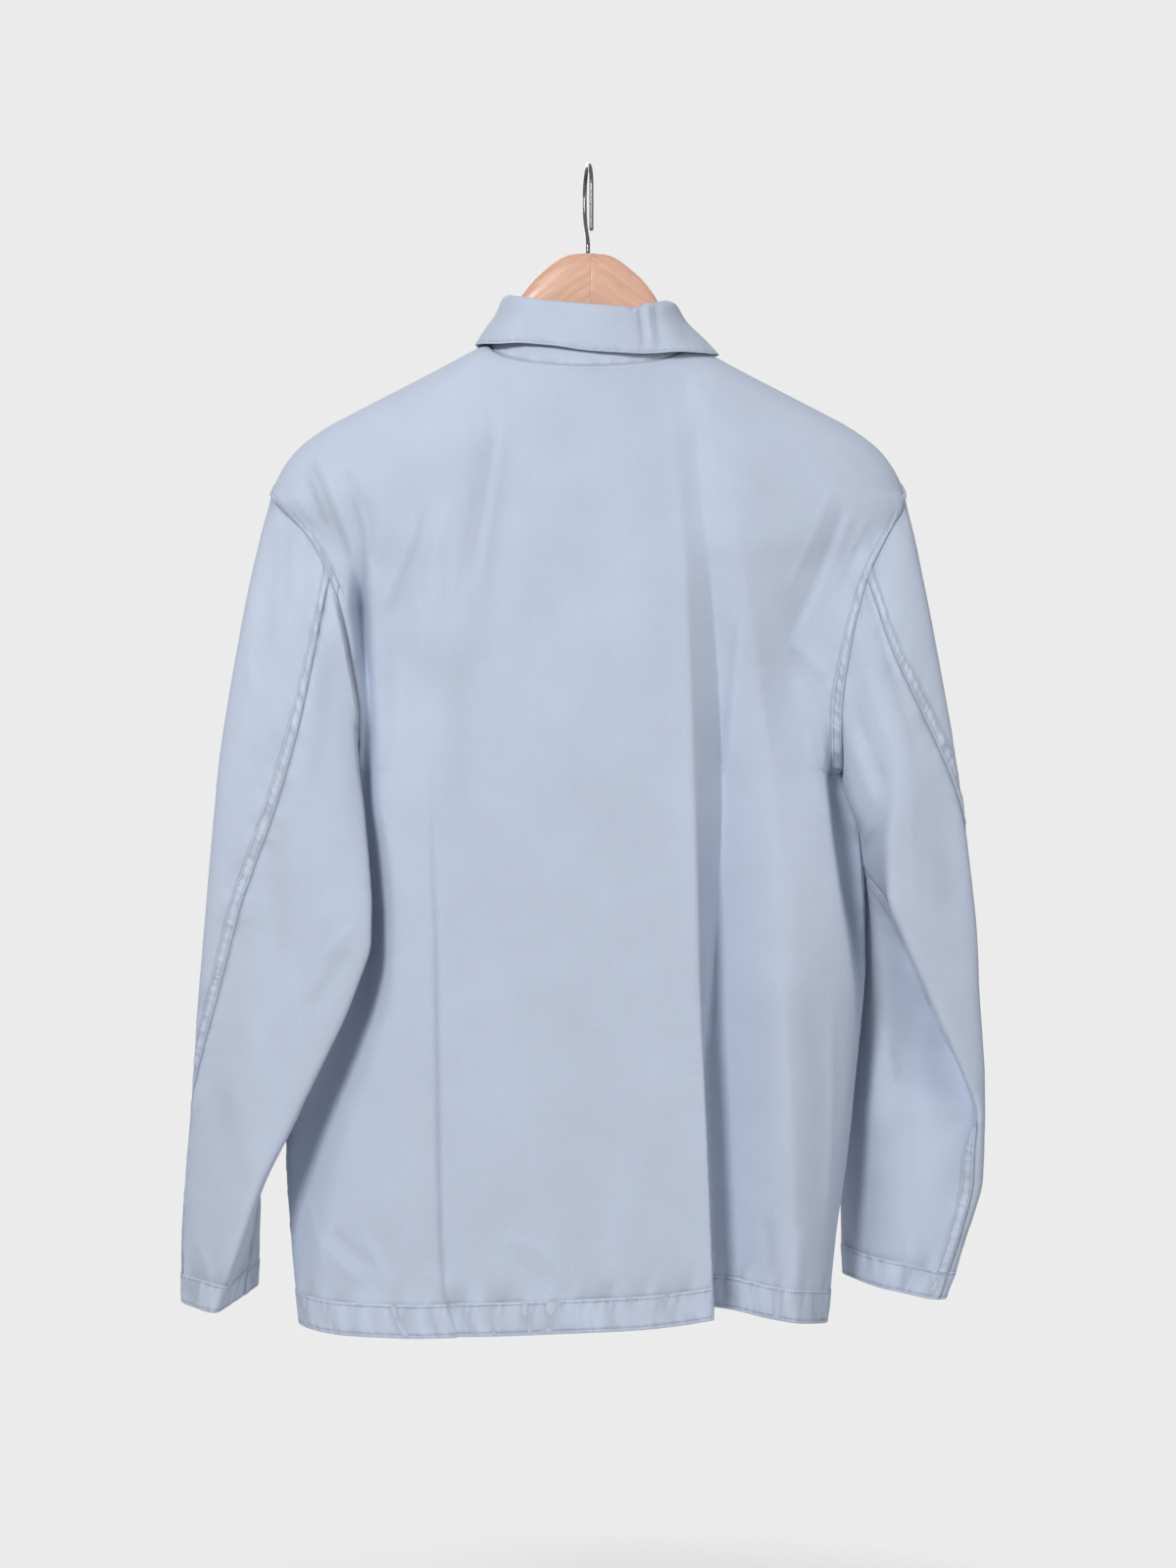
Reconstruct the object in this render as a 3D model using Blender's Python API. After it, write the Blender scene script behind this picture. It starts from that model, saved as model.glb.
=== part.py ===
"""Chef shirt on a wooden hanger: thin cloth panels with 0.3 mm seams, hanger halves, wire hook.

Millimetres throughout, turned to metres in solid(). Origin: inner top of the hook. +Z up,
-Y out of the shirt's back, +X the wearer's right.
"""

import bpy
import numpy as np

# ---- driving sizes, mm -----------------------------------------------------------------
WALL = 1.4             # cloth
GAP = 0.3              # between pieces at a seam
HEM_Z = -903.0
ARMPIT_Z = -476.0
SHOULDER_X = 249.0     # end of the shoulder seam
SHOULDER_Z = -257.0
NECK_HALF = 78.0       # neck seam, half width at the shoulders
NECK_Z = -138.0        # its height there
NECK_BACK = 50.0       # how far back it reaches
NECK_BACK_DROP = 26.0
NECK_FRONT = 55.0
NECK_FRONT_DROP = 64.0
ARMHOLE_DEPTH = 35.0   # half the armhole, front to back
ROLL = 80.0            # height over which the cloth rolls off the hanger arms
LAP = 16.0             # each front passes the centre line by this much
LAP_RAMP = 24.0        # width over which the upper front rises onto the lower one
LAP_RISE = 2.5         # and how far
STAND_TOP_HALF = 60.0
STAND_TOP_BACK = 45.0
STAND_TOP_FRONT = 48.0
STAND_TOP_Z = -108.0
STAND_TOP_BACK_DROP = 11.0
STAND_TOP_FRONT_DROP = 62.0
BUTTON_R = 5.8
BUTTON_T = 2.6
HOOK_WIRE = 1.65       # radius of the wire
HOOK_IN = 20.0         # inner radius of the hook's bend
HOOK_TURN = 7.0        # degrees about the vertical
HOOK_TIP_Z = -53.0
HOOK_FOOT_Z = -66.9
HANGER_JOINT_X = 2.3   # where the two wooden halves meet

COLLAR_EASE = 0.005    # the stand's foot drawn in and up, as a share of its size
ARMPIT_EASE = 1.4      # sleeve seam moved out at the armpit, where three pieces meet

LOWER_ROWS = 9
SLEEVE_ROWS = 18
SLEEVE_FREE = 0.24     # share of the sleeve over which it leaves the armhole's shape
NECK_INSET = 4         # stations of each front that the collar leaf stops short of


def columns(names, *rows):
    """A table as a dict of named columns."""
    return dict(zip(names.split(), np.array(rows, float).T))


# edges of the body seen from behind, its depths, and how square each side is
BODY = columns(
    "z     left  right back front square_left square_right",
    (-903, 226, 187, 70, 66, 2.0, 2.2),
    (-840, 232, 193, 69, 66, 2.0, 2.3),
    (-776, 236, 202, 67, 65, 2.0, 2.4),
    (-700, 224, 210, 64, 63, 2.0, 2.6),
    (-620, 206, 216, 61, 61, 2.0, 3.2),
    (-560, 196, 213, 59, 60, 2.1, 3.6),
    (-510, 189, 209, 57, 58, 2.3, 3.4),
    (-476, 187, 196, 56, 57, 2.6, 2.8),
    (-430, 186, 196, 54, 57, 3.0, 3.0),
    (-380, 188, 202, 52, 56, 3.2, 3.2),
    (-341, 193, 211, 50, 55, 3.2, 3.2),
    (-321, 201, 217, 49, 54, 3.2, 3.2),
    (-300, 211, 227, 48, 53, 3.2, 3.2),
    (-287, 220, 234, 47, 52, 3.2, 3.2),
    (-272, 236, 243, 46, 51, 3.2, 3.2),
    (-257, 249, 249, 46, 50, 3.2, 3.2),
)

# top line of the shoulder from the neck seam outward
SHOULDER = columns(
    "x z",
    (78, -138), (95, -146.5), (122, -161), (152, -176.5), (182, -192),
    (209, -207), (229, -223), (240, -238), (249, -257),
)

# largest folds of each body panel: a line from top to foot, half width, height out of
# the panel (a trough when negative), and a step that grows downward beyond the line
FOLDS = columns(
    "side top_x  top_z  foot_x foot_z width height step",
    (-1,  -52,  -180,   -80,  -420,   26,    5,    0),
    (-1,   80,  -185,    96,  -560,   22,   -7,    0),
    (-1, -172,  -285,  -180,  -372,   11,   -6,    0),
    (-1, -126,  -470,  -104,  -960,   16,    4,    0),
    (-1,   86,  -440,    97,  -960,   22,    4,  -30),
    (-1,  172,  -290,   150,  -470,   20,   -4,    0),
    (-1,  -10,  -620,   -20,  -960,   60,   -3,    0),
    (1,  -120,  -330,  -135,  -960,   34,    5,    0),
    (1,   112,  -360,   120,  -960,   40,    5,    0),
    (1,   165,  -300,   158,  -520,   18,   -5,    0),
    (1,  -168,  -300,  -160,  -500,   18,   -5,    0),
)

# sleeve rings from armhole to cuff. z at the outer and inner edges, then four corners in
# plan (distance out from the middle line, y): outer, near, inner, far; seams as shares of
# the way round from the outer corner through the near one
RING = "z_out z_in ox oy nx ny ix iy fx fy back_seam front_seam"
SLEEVE_LEFT = columns(
    RING,
    (-262, -478, 250, 0, 206, -38, 191, -12, 206, 36, 0.20, 0.66),
    (-310, -490, 260, 0, 218, -52, 189, -32, 224, 42, 0.24, 0.66),
    (-380, -512, 271, 0, 224, -60, 182, -44, 232, 40, 0.225, 0.65),
    (-470, -548, 283, 0, 228, -66, 171, -53, 240, 36, 0.15, 0.60),
    (-560, -590, 292, 2, 230, -70, 166, -60, 248, 32, 0.085, 0.54),
    (-620, -625, 298, 4, 236, -72, 170, -65, 252, 32, 0.045, 0.50),
    (-685, -685, 302, 5, 248, -70, 195, -70, 256, 36, 0.00, 0.48),
    (-740, -740, 306, 6, 266, -60, 218, -74, 260, 40, -0.01, 0.48),
    (-790, -790, 313, 6, 282, -48, 243, -73, 264, 46, -0.01, 0.48),
    (-840, -840, 317, 6, 297, -36, 266, -68, 265, 52, 0.01, 0.49),
    (-887, -887, 320, 5, 306, -28, 285, -60, 266, 57, 0.05, 0.50),
)
SLEEVE_RIGHT = columns(
    RING,
    (-262, -478, 250, 0, 214, -36, 204, 0, 214, 36, 0.20, 0.66),
    (-310, -492, 258, 0, 230, -50, 208, -8, 234, 46, 0.18, 0.64),
    (-380, -506, 270, 2, 238, -54, 218, 0, 246, 56, 0.10, 0.57),
    (-470, -532, 282, 6, 240, -56, 222, 12, 256, 66, 0.01, 0.47),
    (-540, -558, 291, 6, 229, -50, 224, 20, 264, 70, -0.09, 0.37),
    (-580, -588, 295, 4, 230, -53, 221, 42, 264, 74, -0.15, 0.31),
    (-620, -622, 299, 2, 247, -53, 215, 54, 264, 74, -0.21, 0.25),
    (-670, -670, 301, -2, 272, -50, 209, 60, 266, 68, -0.27, 0.19),
    (-700, -700, 303, -8, 285, -46, 205, 58, 268, 60, -0.31, 0.14),
    (-735, -735, 305, -16, 297, -42, 204, 60, 270, 54, -0.34, 0.10),
    (-780, -780, 306, -24, 297, -44, 205, 62, 270, 48, -0.36, 0.08),
    (-830, -828, 296, -28, 285, -46, 206, 64, 268, 44, -0.37, 0.07),
    (-880, -873, 280, -32, 270, -46, 206, 66, 262, 36, -0.38, 0.05),
)
RING_SOFT = 0.13       # share of a ring over which its corners are rounded

# collar leaf round the neck: angle from the back (left negative), drop, spread
LEAF = columns(
    "angle drop spread",
    (-180, 54, 15), (-150, 42, 15), (-128, 30, 16), (-108, 23, 19), (-90, 28, 26),
    (-45, 36, 22), (0, 39, 15), (45, 38, 24), (90, 36, 40), (108, 26, 29), (128, 30, 20),
    (150, 42, 16), (180, 54, 15),
)
# leaf in section: share of the spread, share of the drop, fixed roll out and up
ROLL_OVER = columns(
    "spread drop out up",
    (0.0, 0.0, 0.0, 0.0), (0.0, 0.0, 0.8, 2.8), (0.0, 0.0, 3.6, 4.4), (0.1, 0.0, 5.8, 2.2),
    (0.32, 0.32, 5.2, 0.0), (0.66, 0.66, 3.0, 0.0), (1.0, 1.0, 0.0, 0.0),
)

# hanger along its length: top, height, half depth
HANGER = columns(
    "x top height depth",
    (0, -67, 58, 8), (14, -68.5, 57, 8), (38, -84, 50, 8), (51, -99, 44, 8),
    (60, -116, 38, 7), (68, -133, 32, 7), (76, -143.5, 30, 7), (95, -148.4, 31, 8),
    (122, -162.7, 30, 9), (152, -178.2, 28, 10), (182, -193.7, 26, 11), (209, -208.9, 23, 11),
    (226, -223.9, 16, 9),
)

SHOULDER_STATIONS = (249, 243, 231, 210, 184, 156, 126, 100, 78)
NECK_BACK_STATIONS = (77, 72, 61, 44, 22, 0)
NECK_FRONT_STATIONS = (77, 71, 58, 36, 12, 0, -16)
ARMHOLE_HEIGHTS = (-476, -464, -441, -412, -382, -352, -324, -300, -281, -267, -260, -257)
BACK_SEAM_ROW = 6      # of ARMHOLE_HEIGHTS, where the sleeve's back seam starts
FRONT_SEAM_ROW = 5
BUTTON_HEIGHTS = (-246, -340, -440, -540, -640, -740)
BODY_PANELS = ("back", "front_left", "front_right")


# ---- curves ----------------------------------------------------------------------------
def smooth(xs, ys, at):
    """Monotone cubic through (xs, ys), held level past the ends."""
    order = np.argsort(xs)
    xs = np.asarray(xs, float)[order]
    ys = np.asarray(ys, float)[order]
    gap = np.diff(xs)
    rise = np.diff(ys) / gap
    slope = np.zeros_like(xs)
    slope[0] = rise[0]
    slope[-1] = rise[-1]
    for k in range(1, len(xs) - 1):
        if rise[k - 1] * rise[k] > 0:
            w1 = 2 * gap[k] + gap[k - 1]
            w2 = gap[k] + 2 * gap[k - 1]
            slope[k] = (w1 + w2) / (w1 / rise[k - 1] + w2 / rise[k])
    at = np.clip(at, xs[0], xs[-1])
    k = np.clip(np.searchsorted(xs, at) - 1, 0, len(gap) - 1)
    t = (at - xs[k]) / gap[k]
    start = ys[k] * (1 + 2 * t) * (1 - t) ** 2 + slope[k] * gap[k] * t * (1 - t) ** 2
    end = ys[k + 1] * (3 - 2 * t) * t ** 2 - slope[k + 1] * gap[k] * (1 - t) * t ** 2
    return start + end


def read(table, key, name, at):
    return smooth(table[key], table[name], at)


def ease(a, b, v):
    t = np.clip((v - a) / (b - a), 0, 1)
    return t * t * (3 - 2 * t)


# ---- body ------------------------------------------------------------------------------
def neck_arc(x):
    return np.sqrt(np.clip(1 - (x / NECK_HALF) ** 2, 0, 1))


def top_line(x, side):
    """Height and depth of the panel's top edge at x: shoulder seam, then neck seam."""
    drop = NECK_BACK_DROP if side < 0 else NECK_FRONT_DROP
    reach = NECK_BACK if side < 0 else NECK_FRONT
    inside = np.abs(x) < NECK_HALF
    z = np.where(inside, NECK_Z - drop * neck_arc(x), read(SHOULDER, "x", "z", np.abs(x)))
    return z, np.where(inside, side * reach * neck_arc(x), 0.0)


def fold_depth(x, z, side):
    """How far the named folds move the panel out, mm."""
    out = np.zeros_like(x)
    for k in np.flatnonzero(FOLDS["side"] == side):
        f = {name: values[k] for name, values in FOLDS.items()}
        t = (z - f["top_z"]) / (f["foot_z"] - f["top_z"])
        across = (x - f["top_x"] - (f["foot_x"] - f["top_x"]) * t) / f["width"]
        length = f["top_z"] - f["foot_z"]
        shown = ease(0, 60, f["top_z"] - z) * ease(0, min(70, length / 3), z - f["foot_z"])
        out += shown * f["height"] * np.exp(-across ** 2)
        away = np.exp(-np.clip(across - 0.5, 0, 9) ** 2 / 6)
        out += shown * np.clip(t, 0, 1) * f["step"] * ease(-0.25, 0.25, across) * away
    return out


def body_y(x, z, side):
    """Depth of a body panel at (x, z); side is -1 behind, 1 in front."""
    left = read(BODY, "z", "left", z)
    right = read(BODY, "z", "right", z)
    share = np.clip(np.where(x < 0, -x / left, x / right), 0, 1)
    power = np.where(
        x < 0, read(BODY, "z", "square_left", z), read(BODY, "z", "square_right", z)
    )
    armhole = ease(ARMPIT_Z - 20, ARMPIT_Z + 90, z) * ease(SHOULDER_Z + 5, SHOULDER_Z - 65, z)
    root = 1 + (power - 1) * (1 - armhole)
    round_off = np.clip(1 - share ** power, 0, 1) ** (1 / root)
    depth = read(BODY, "z", "back" if side < 0 else "front", z)
    middle = (ARMPIT_Z + SHOULDER_Z) / 2
    up = (z - middle) / (SHOULDER_Z - middle)
    edge = ARMHOLE_DEPTH * np.sqrt(np.clip(1 - up ** 2, 0, 1))
    swell = (depth - edge) * round_off
    top_z, top_y = top_line(x, side)
    fall = np.clip((top_z - z) / ROLL, 0, 1)
    roll = np.sqrt(np.clip(1 - (1 - fall) ** 2, 0, 1))
    y = side * (edge + swell * roll) + top_y * (1 - roll)
    clear = ease(0, 0.07, 1 - share) * ease(2, 30, top_z - z)
    y = y + side * fold_depth(x, z, side) * clear
    if side > 0:
        lift = ease(-LAP - 20 - LAP_RAMP, -LAP - 20, x)
        return y, lift
    return y, np.zeros_like(y)


def panel_grid(side, stations, start, end, rises):
    """Points of a body panel, hem first. stations: x at the shoulder, start to end."""
    stations = np.array(stations, float)
    n = len(stations) - 1
    high = (stations - stations[0]) / (stations[-1] - stations[0])
    i = np.arange(n + 1) / n
    if start * end < 0 and min(abs(start), abs(end)) > LAP:
        bunched = 0.5 - 0.5 * np.cos(np.pi * i)
    elif abs(start) > LAP:
        bunched = 1 - np.cos(np.pi * i / 2)
    else:
        bunched = np.sin(np.pi * i / 2)
    low = 0.55 * i + 0.45 * bunched
    rows = []
    top_z, top_y = top_line(stations, side)
    heights = [np.full(n + 1, z) for z in np.linspace(HEM_Z, ARMPIT_Z, LOWER_ROWS + 1)]
    drop = NECK_BACK_DROP if side < 0 else NECK_FRONT_DROP
    within = np.clip(1 - (stations / NECK_HALF) ** 2, 0, 1)
    level = np.where(within > 0, NECK_Z - drop * within, top_z)
    for z_edge in ARMHOLE_HEIGHTS[1:]:
        w = (z_edge - ARMPIT_Z) / (SHOULDER_Z - ARMPIT_Z)
        heights.append(ARMPIT_Z + (level + (top_z - level) * w ** 4 - ARMPIT_Z) * w)
    for z in heights:
        left = -read(BODY, "z", "left", z)
        right = read(BODY, "z", "right", z)
        ends = {-SHOULDER_X: left, SHOULDER_X: right, LAP: LAP, -LAP: -LAP}
        share = low + (high - low) * ease(HEM_Z, SHOULDER_Z, z)
        x = ends[start] + (ends[end] - ends[start]) * share
        y, lift = body_y(x, z, side)
        rows.append(np.stack([x, y + rises * lift * LAP_RISE, z], axis=-1))
    return np.array(rows)


# ---- sleeves ---------------------------------------------------------------------------
def ring(corners, soft, count=192):
    """Closed ring through four plan corners, evenly sampled, corners rounded."""
    corners = np.array(corners, float)
    ahead = np.roll(corners, -1, axis=0) - corners
    size = np.linalg.norm(ahead, axis=1, keepdims=True)
    reach = np.minimum(soft * size.sum() / 8, np.minimum(size, np.roll(size, 1, axis=0)) / 5)
    pull = ahead / size - np.roll(ahead / size, 1, axis=0)
    corners = corners - reach * pull
    loop = np.vstack([corners, corners[:1]])
    step = np.linalg.norm(np.diff(loop, axis=0), axis=1)
    at = np.concatenate([[0], np.cumsum(step)])
    even = np.arange(count) / count * at[-1]
    points = np.stack([np.interp(even, at, loop[:, k]) for k in range(2)], axis=-1)
    width = int(soft * count / 2)
    kernel = np.ones(2 * width + 1) / (2 * width + 1)
    around = np.vstack([points[-2 * width:], points, points[:2 * width]])
    for _ in range(2):
        around = np.stack([np.convolve(around[:, k], kernel, "same") for k in range(2)], -1)
    return around[2 * width:2 * width + count]


def sleeve_point(table, t, share):
    """Point of a sleeve (outward x, y, z): t from armhole to cuff, share round the ring."""
    rows = np.linspace(0, 1, len(table["z_out"]))
    now = {name: float(smooth(rows, values, t)) for name, values in table.items()}
    outer = np.array([now["ox"], now["oy"]])
    inner = np.array([now["ix"], now["iy"]])
    corners = [outer, (now["nx"], now["ny"]), inner, (now["fx"], now["fy"])]
    loop = ring(corners, RING_SOFT)
    first = int(np.argmin(np.linalg.norm(loop - outer, axis=1)))
    loop = np.roll(loop, -first, axis=0)
    loop = np.vstack([loop, loop[:1]])
    at = np.mod(share, 1.0) * (len(loop) - 1)
    plan = np.stack([np.interp(at, np.arange(len(loop)), loop[:, k]) for k in range(2)], -1)
    chord = outer - inner
    lean = np.clip((plan - inner) @ chord / (chord @ chord), -0.1, 1.1)
    z = now["z_in"] + (now["z_out"] - now["z_in"]) * lean
    return np.concatenate([plan, z[:, None]], axis=1), now


def sleeve_grid(table, seam_points, under):
    """Rows of one sleeve piece from the armhole to the cuff."""
    along = np.linalg.norm(np.diff(seam_points, axis=0), axis=1)
    first = np.concatenate([[0], np.cumsum(along)]) / along.sum()
    even = np.linspace(0, 1, len(seam_points))
    rows = [seam_points]
    for j in range(1, SLEEVE_ROWS + 1):
        t = (j / SLEEVE_ROWS) ** 1.1
        _, now = sleeve_point(table, t, np.zeros(1))
        a, b = now["back_seam"], now["front_seam"]
        if not under:
            a, b = b, now["back_seam"] + 1
        free = 1 - np.clip(1 - t / SLEEVE_FREE, 0, 1) ** 2
        share = a + (b - a) * (first + (even - first) * free)
        points, _ = sleeve_point(table, t, share)
        rows.append(seam_points + (points - seam_points) * free)
    return np.array(rows)


# ---- collar ----------------------------------------------------------------------------
def collar_rings(neck):
    """Rows of the stand and of the leaf over the neck seam points."""
    angle = np.arctan2(neck[:, 0] / NECK_HALF, -neck[:, 1] / NECK_BACK)
    behind = neck[:, 1] <= 0
    reach = np.where(behind, STAND_TOP_BACK / NECK_BACK, STAND_TOP_FRONT / NECK_FRONT)
    drop = np.where(behind, STAND_TOP_BACK_DROP, STAND_TOP_FRONT_DROP)
    bend = np.where(behind, 1.0, 1.5)
    arc = neck_arc(neck[:, 0])
    top = np.stack([
        neck[:, 0] * STAND_TOP_HALF / NECK_HALF,
        neck[:, 1] * reach,
        STAND_TOP_Z - drop * arc ** bend,
    ], axis=-1)
    out = np.stack([top[:, 0] / STAND_TOP_HALF ** 2, top[:, 1] / STAND_TOP_BACK ** 2], -1)
    out = out / np.linalg.norm(out, axis=1, keepdims=True)
    middle = (neck + top) / 2
    middle[:, :2] -= out * 1.5
    degrees = np.degrees(angle)
    fall = read(LEAF, "angle", "drop", degrees)
    spread = read(LEAF, "angle", "spread", degrees)
    leaf = []
    for k in range(len(ROLL_OVER["out"])):
        r = ROLL_OVER["spread"][k] * spread + ROLL_OVER["out"][k]
        h = ROLL_OVER["up"][k] - ROLL_OVER["drop"][k] * fall
        leaf.append(np.column_stack([top[:, :2] + out * r[:, None], top[:, 2] + h]))
    return np.array([neck, middle, top]), np.array(leaf)


# ---- solids ----------------------------------------------------------------------------
def material(name, colour, rough, metal=0.0):
    made = bpy.data.materials.new(name)
    made.use_nodes = True
    shader = made.node_tree.nodes["Principled BSDF"]
    shader.inputs["Base Color"].default_value = (*colour, 1.0)
    shader.inputs["Roughness"].default_value = rough
    shader.inputs["Metallic"].default_value = metal
    return made


def volume(points, faces):
    """Signed volume inside the faces, positive when they face out."""
    total = 0.0
    for face in faces:
        a = points[face[0]]
        for k in range(1, len(face) - 1):
            total += a @ np.cross(points[face[k]], points[face[k + 1]])
    return total / 6


def solid(name, points, faces, look):
    points = np.asarray(points)
    if volume(points, faces) < 0:
        faces = [tuple(reversed(face)) for face in faces]
    mesh = bpy.data.meshes.new(name)
    mesh.from_pydata([tuple(p) for p in points / 1000], [], faces)
    mesh.validate()
    mesh.materials.append(material(name, *look))
    for polygon in mesh.polygons:
        polygon.use_smooth = True
    made = bpy.data.objects.new(name, mesh)
    bpy.context.scene.collection.objects.link(made)
    return made


def grid_normals(grid):
    rows, cols, _ = grid.shape
    normal = np.zeros_like(grid)
    a = grid[1:, 1:] - grid[:-1, :-1]
    b = grid[1:, :-1] - grid[:-1, 1:]
    face = np.cross(a, b)
    normal[:-1, :-1] += face
    normal[:-1, 1:] += face
    normal[1:, :-1] += face
    normal[1:, 1:] += face
    return normal / np.linalg.norm(normal, axis=2, keepdims=True)


def spot(point):
    return tuple(np.round(point, 2))


def shared_normals(grids):
    """Normals of all panels, the same on both sides of every seam."""
    normals = {name: grid_normals(grid) for name, grid in grids.items()}
    total = {}
    for name, grid in grids.items():
        for p, n in zip(grid.reshape(-1, 3), normals[name].reshape(-1, 3)):
            total[spot(p)] = total.get(spot(p), 0) + n
    for name, grid in grids.items():
        flat = np.array([total[spot(p)] for p in grid.reshape(-1, 3)])
        size = np.linalg.norm(flat, axis=1, keepdims=True)
        normals[name] = (flat / size).reshape(grid.shape)
    return normals


def inset(grid, amount):
    """Draw every edge of the panel back by the amount."""
    moved = grid.copy()
    edges = (
        (np.s_[:, 0], np.s_[:, 1]), (np.s_[:, -1], np.s_[:, -2]),
        (np.s_[0, :], np.s_[1, :]), (np.s_[-1, :], np.s_[-2, :]),
    )
    for edge, beside in edges:
        line = grid[edge]
        along = np.gradient(line, axis=0)
        along = along / np.linalg.norm(along, axis=1, keepdims=True)
        inward = grid[beside] - line
        inward = inward - along * np.sum(along * inward, axis=1, keepdims=True)
        moved[edge] += inward / np.linalg.norm(inward, axis=1, keepdims=True) * amount
    return moved


def shell(name, grid, normal, look):
    """Thin closed solid WALL thick about a grid of points."""
    grid = inset(grid, GAP / 2 if name in BODY_PANELS else GAP)
    rows, cols, _ = grid.shape
    outer = (grid + normal * WALL / 2).reshape(-1, 3)
    inner = (grid - normal * WALL / 2).reshape(-1, 3)
    count = rows * cols
    flat = grid.reshape(-1, 3)
    faces = []
    for j in range(rows - 1):
        for i in range(cols - 1):
            a = j * cols + i
            b, c, d = a + 1, a + cols + 1, a + cols
            if np.linalg.norm(flat[a] - flat[c]) > np.linalg.norm(flat[b] - flat[d]):
                a, b, c, d = b, c, d, a
            for corner in ((a, b, c), (a, c, d)):
                faces.append(corner)
                faces.append(tuple(count + k for k in reversed(corner)))
    border = [i for i in range(cols)]
    border += [j * cols + cols - 1 for j in range(1, rows)]
    border += [(rows - 1) * cols + i for i in range(cols - 2, -1, -1)]
    border += [j * cols for j in range(rows - 2, 0, -1)]
    for a, b in zip(border, border[1:] + border[:1]):
        faces.append((b, a, count + a, count + b))
    return solid(name, np.vstack([outer, inner]), faces, look)


def tube(name, rings, look):
    """Closed solid through equal rings of points, ends capped flat."""
    rings = np.array(rings)
    count, around, _ = rings.shape
    faces = [tuple(reversed(range(around)))]
    faces.append(tuple(range((count - 1) * around, count * around)))
    for j in range(count - 1):
        for i in range(around):
            k = (i + 1) % around
            faces.append((
                j * around + i, j * around + k, (j + 1) * around + k, (j + 1) * around + i
            ))
    return solid(name, rings.reshape(-1, 3), faces, look)


# ---- looks -----------------------------------------------------------------------------
CLOTH = ((0.50, 0.57, 0.70), 0.85)
WOOD = ((0.74, 0.43, 0.29), 0.45)
STEEL = ((0.75, 0.75, 0.76), 0.25, 1.0)
BUTTON = ((0.55, 0.60, 0.70), 0.35)


def build_cloth():
    neck = list(NECK_BACK_STATIONS)
    left_half = [-x for x in SHOULDER_STATIONS] + [-x for x in neck]
    back = left_half + [-x for x in reversed(left_half[:-1])]
    front = list(SHOULDER_STATIONS) + list(NECK_FRONT_STATIONS)
    grids = {
        "back": panel_grid(-1, back, -SHOULDER_X, SHOULDER_X, 0),
        "front_right": panel_grid(1, front, SHOULDER_X, -LAP, 0),
        "front_left": panel_grid(1, [-x for x in reversed(front)], LAP, -SHOULDER_X, 1),
    }
    low = LOWER_ROWS
    for name, sign, table, behind, before in (
        ("right", 1, SLEEVE_RIGHT, grids["back"][low:, -1], grids["front_right"][low:, 0]),
        ("left", -1, SLEEVE_LEFT, grids["back"][low:, 0], grids["front_left"][low:, -1]),
    ):
        mirror = np.array([sign, 1, 1])
        under = np.vstack([behind[BACK_SEAM_ROW::-1], before[1:FRONT_SEAM_ROW + 1]])
        upper = np.vstack([before[FRONT_SEAM_ROW:], behind[BACK_SEAM_ROW:-1][::-1]])
        for part, points in (("under", under), ("upper", upper)):
            grid = sleeve_grid(table, points * mirror, part == "under") * mirror
            if sign > 0:
                grid = grid[:, ::-1]
            grids[f"sleeve_{name}_{part}"] = grid[::-1]
    n = len(SHOULDER_STATIONS) - 1
    neck_line = np.vstack([
        grids["front_right"][-1, :n - 1:-1],
        grids["back"][-1, n + 1:-n - 1][::-1],
        grids["front_left"][-1, :-n][::-1],
    ])
    stand, leaf = collar_rings(neck_line)
    grids["collar_stand"] = stand[:, ::-1]
    cut = len(NECK_FRONT_STATIONS) - 1 - NECK_INSET
    grids["collar_leaf"] = leaf[:, cut:-cut][:, ::-1]
    normals = shared_normals(grids)
    for name, grid in grids.items():
        placed = grid.copy()
        if name == "collar_stand":
            placed[0] += (placed[2] - placed[0]) * COLLAR_EASE
            placed[0, :, :2] *= 1 - COLLAR_EASE
        if name.startswith("sleeve"):
            near = ease(ARMPIT_Z + 35, ARMPIT_Z, grid[-1, :, 2])
            placed[-1, :, 0] += np.sign(grid[-1, :, 0]) * near * ARMPIT_EASE
        shell(name, placed, normals[name], CLOTH)
    return grids, normals


def on_panel(grid, normal, x, z):
    """Point and normal of a front panel at (x, z)."""
    line = []
    for points, turned in zip(grid, normal):
        both = np.hstack([points, turned])[::-1]
        if both[0, 0] > both[-1, 0]:
            both = both[::-1]
        line.append([np.interp(x, both[:, 0], both[:, k]) for k in range(6)])
    line = np.array(line)
    found = np.array([np.interp(z, line[:, 2], line[:, k]) for k in range(6)])
    return found[:3], found[3:]


def build_buttons(grids, normals):
    """Buttons 0.3 mm off the upper front, down the centre line."""
    for k, z in enumerate(BUTTON_HEIGHTS, 1):
        foot, out = on_panel(grids["front_left"], normals["front_left"], 0.0, z)
        button(f"button_{k}", foot + out * (WALL / 2 + GAP + 0.1), out)


def button(name, foot, out):
    out = out / np.linalg.norm(out)
    across = np.cross(out, (0, 0, 1.0))
    across = across / np.linalg.norm(across)
    up = np.cross(across, out)
    rings = []
    for r, h in ((0.86, 0), (1, 0.25), (1, 0.85), (0.92, 1), (0.76, 0.95), (0.68, 0.7)):
        turn = np.arange(20) * 2 * np.pi / 20
        circle = np.cos(turn)[:, None] * across + np.sin(turn)[:, None] * up
        rings.append(foot + circle * r * BUTTON_R + out * h * BUTTON_T)
    return tube(name, rings, BUTTON)


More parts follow.
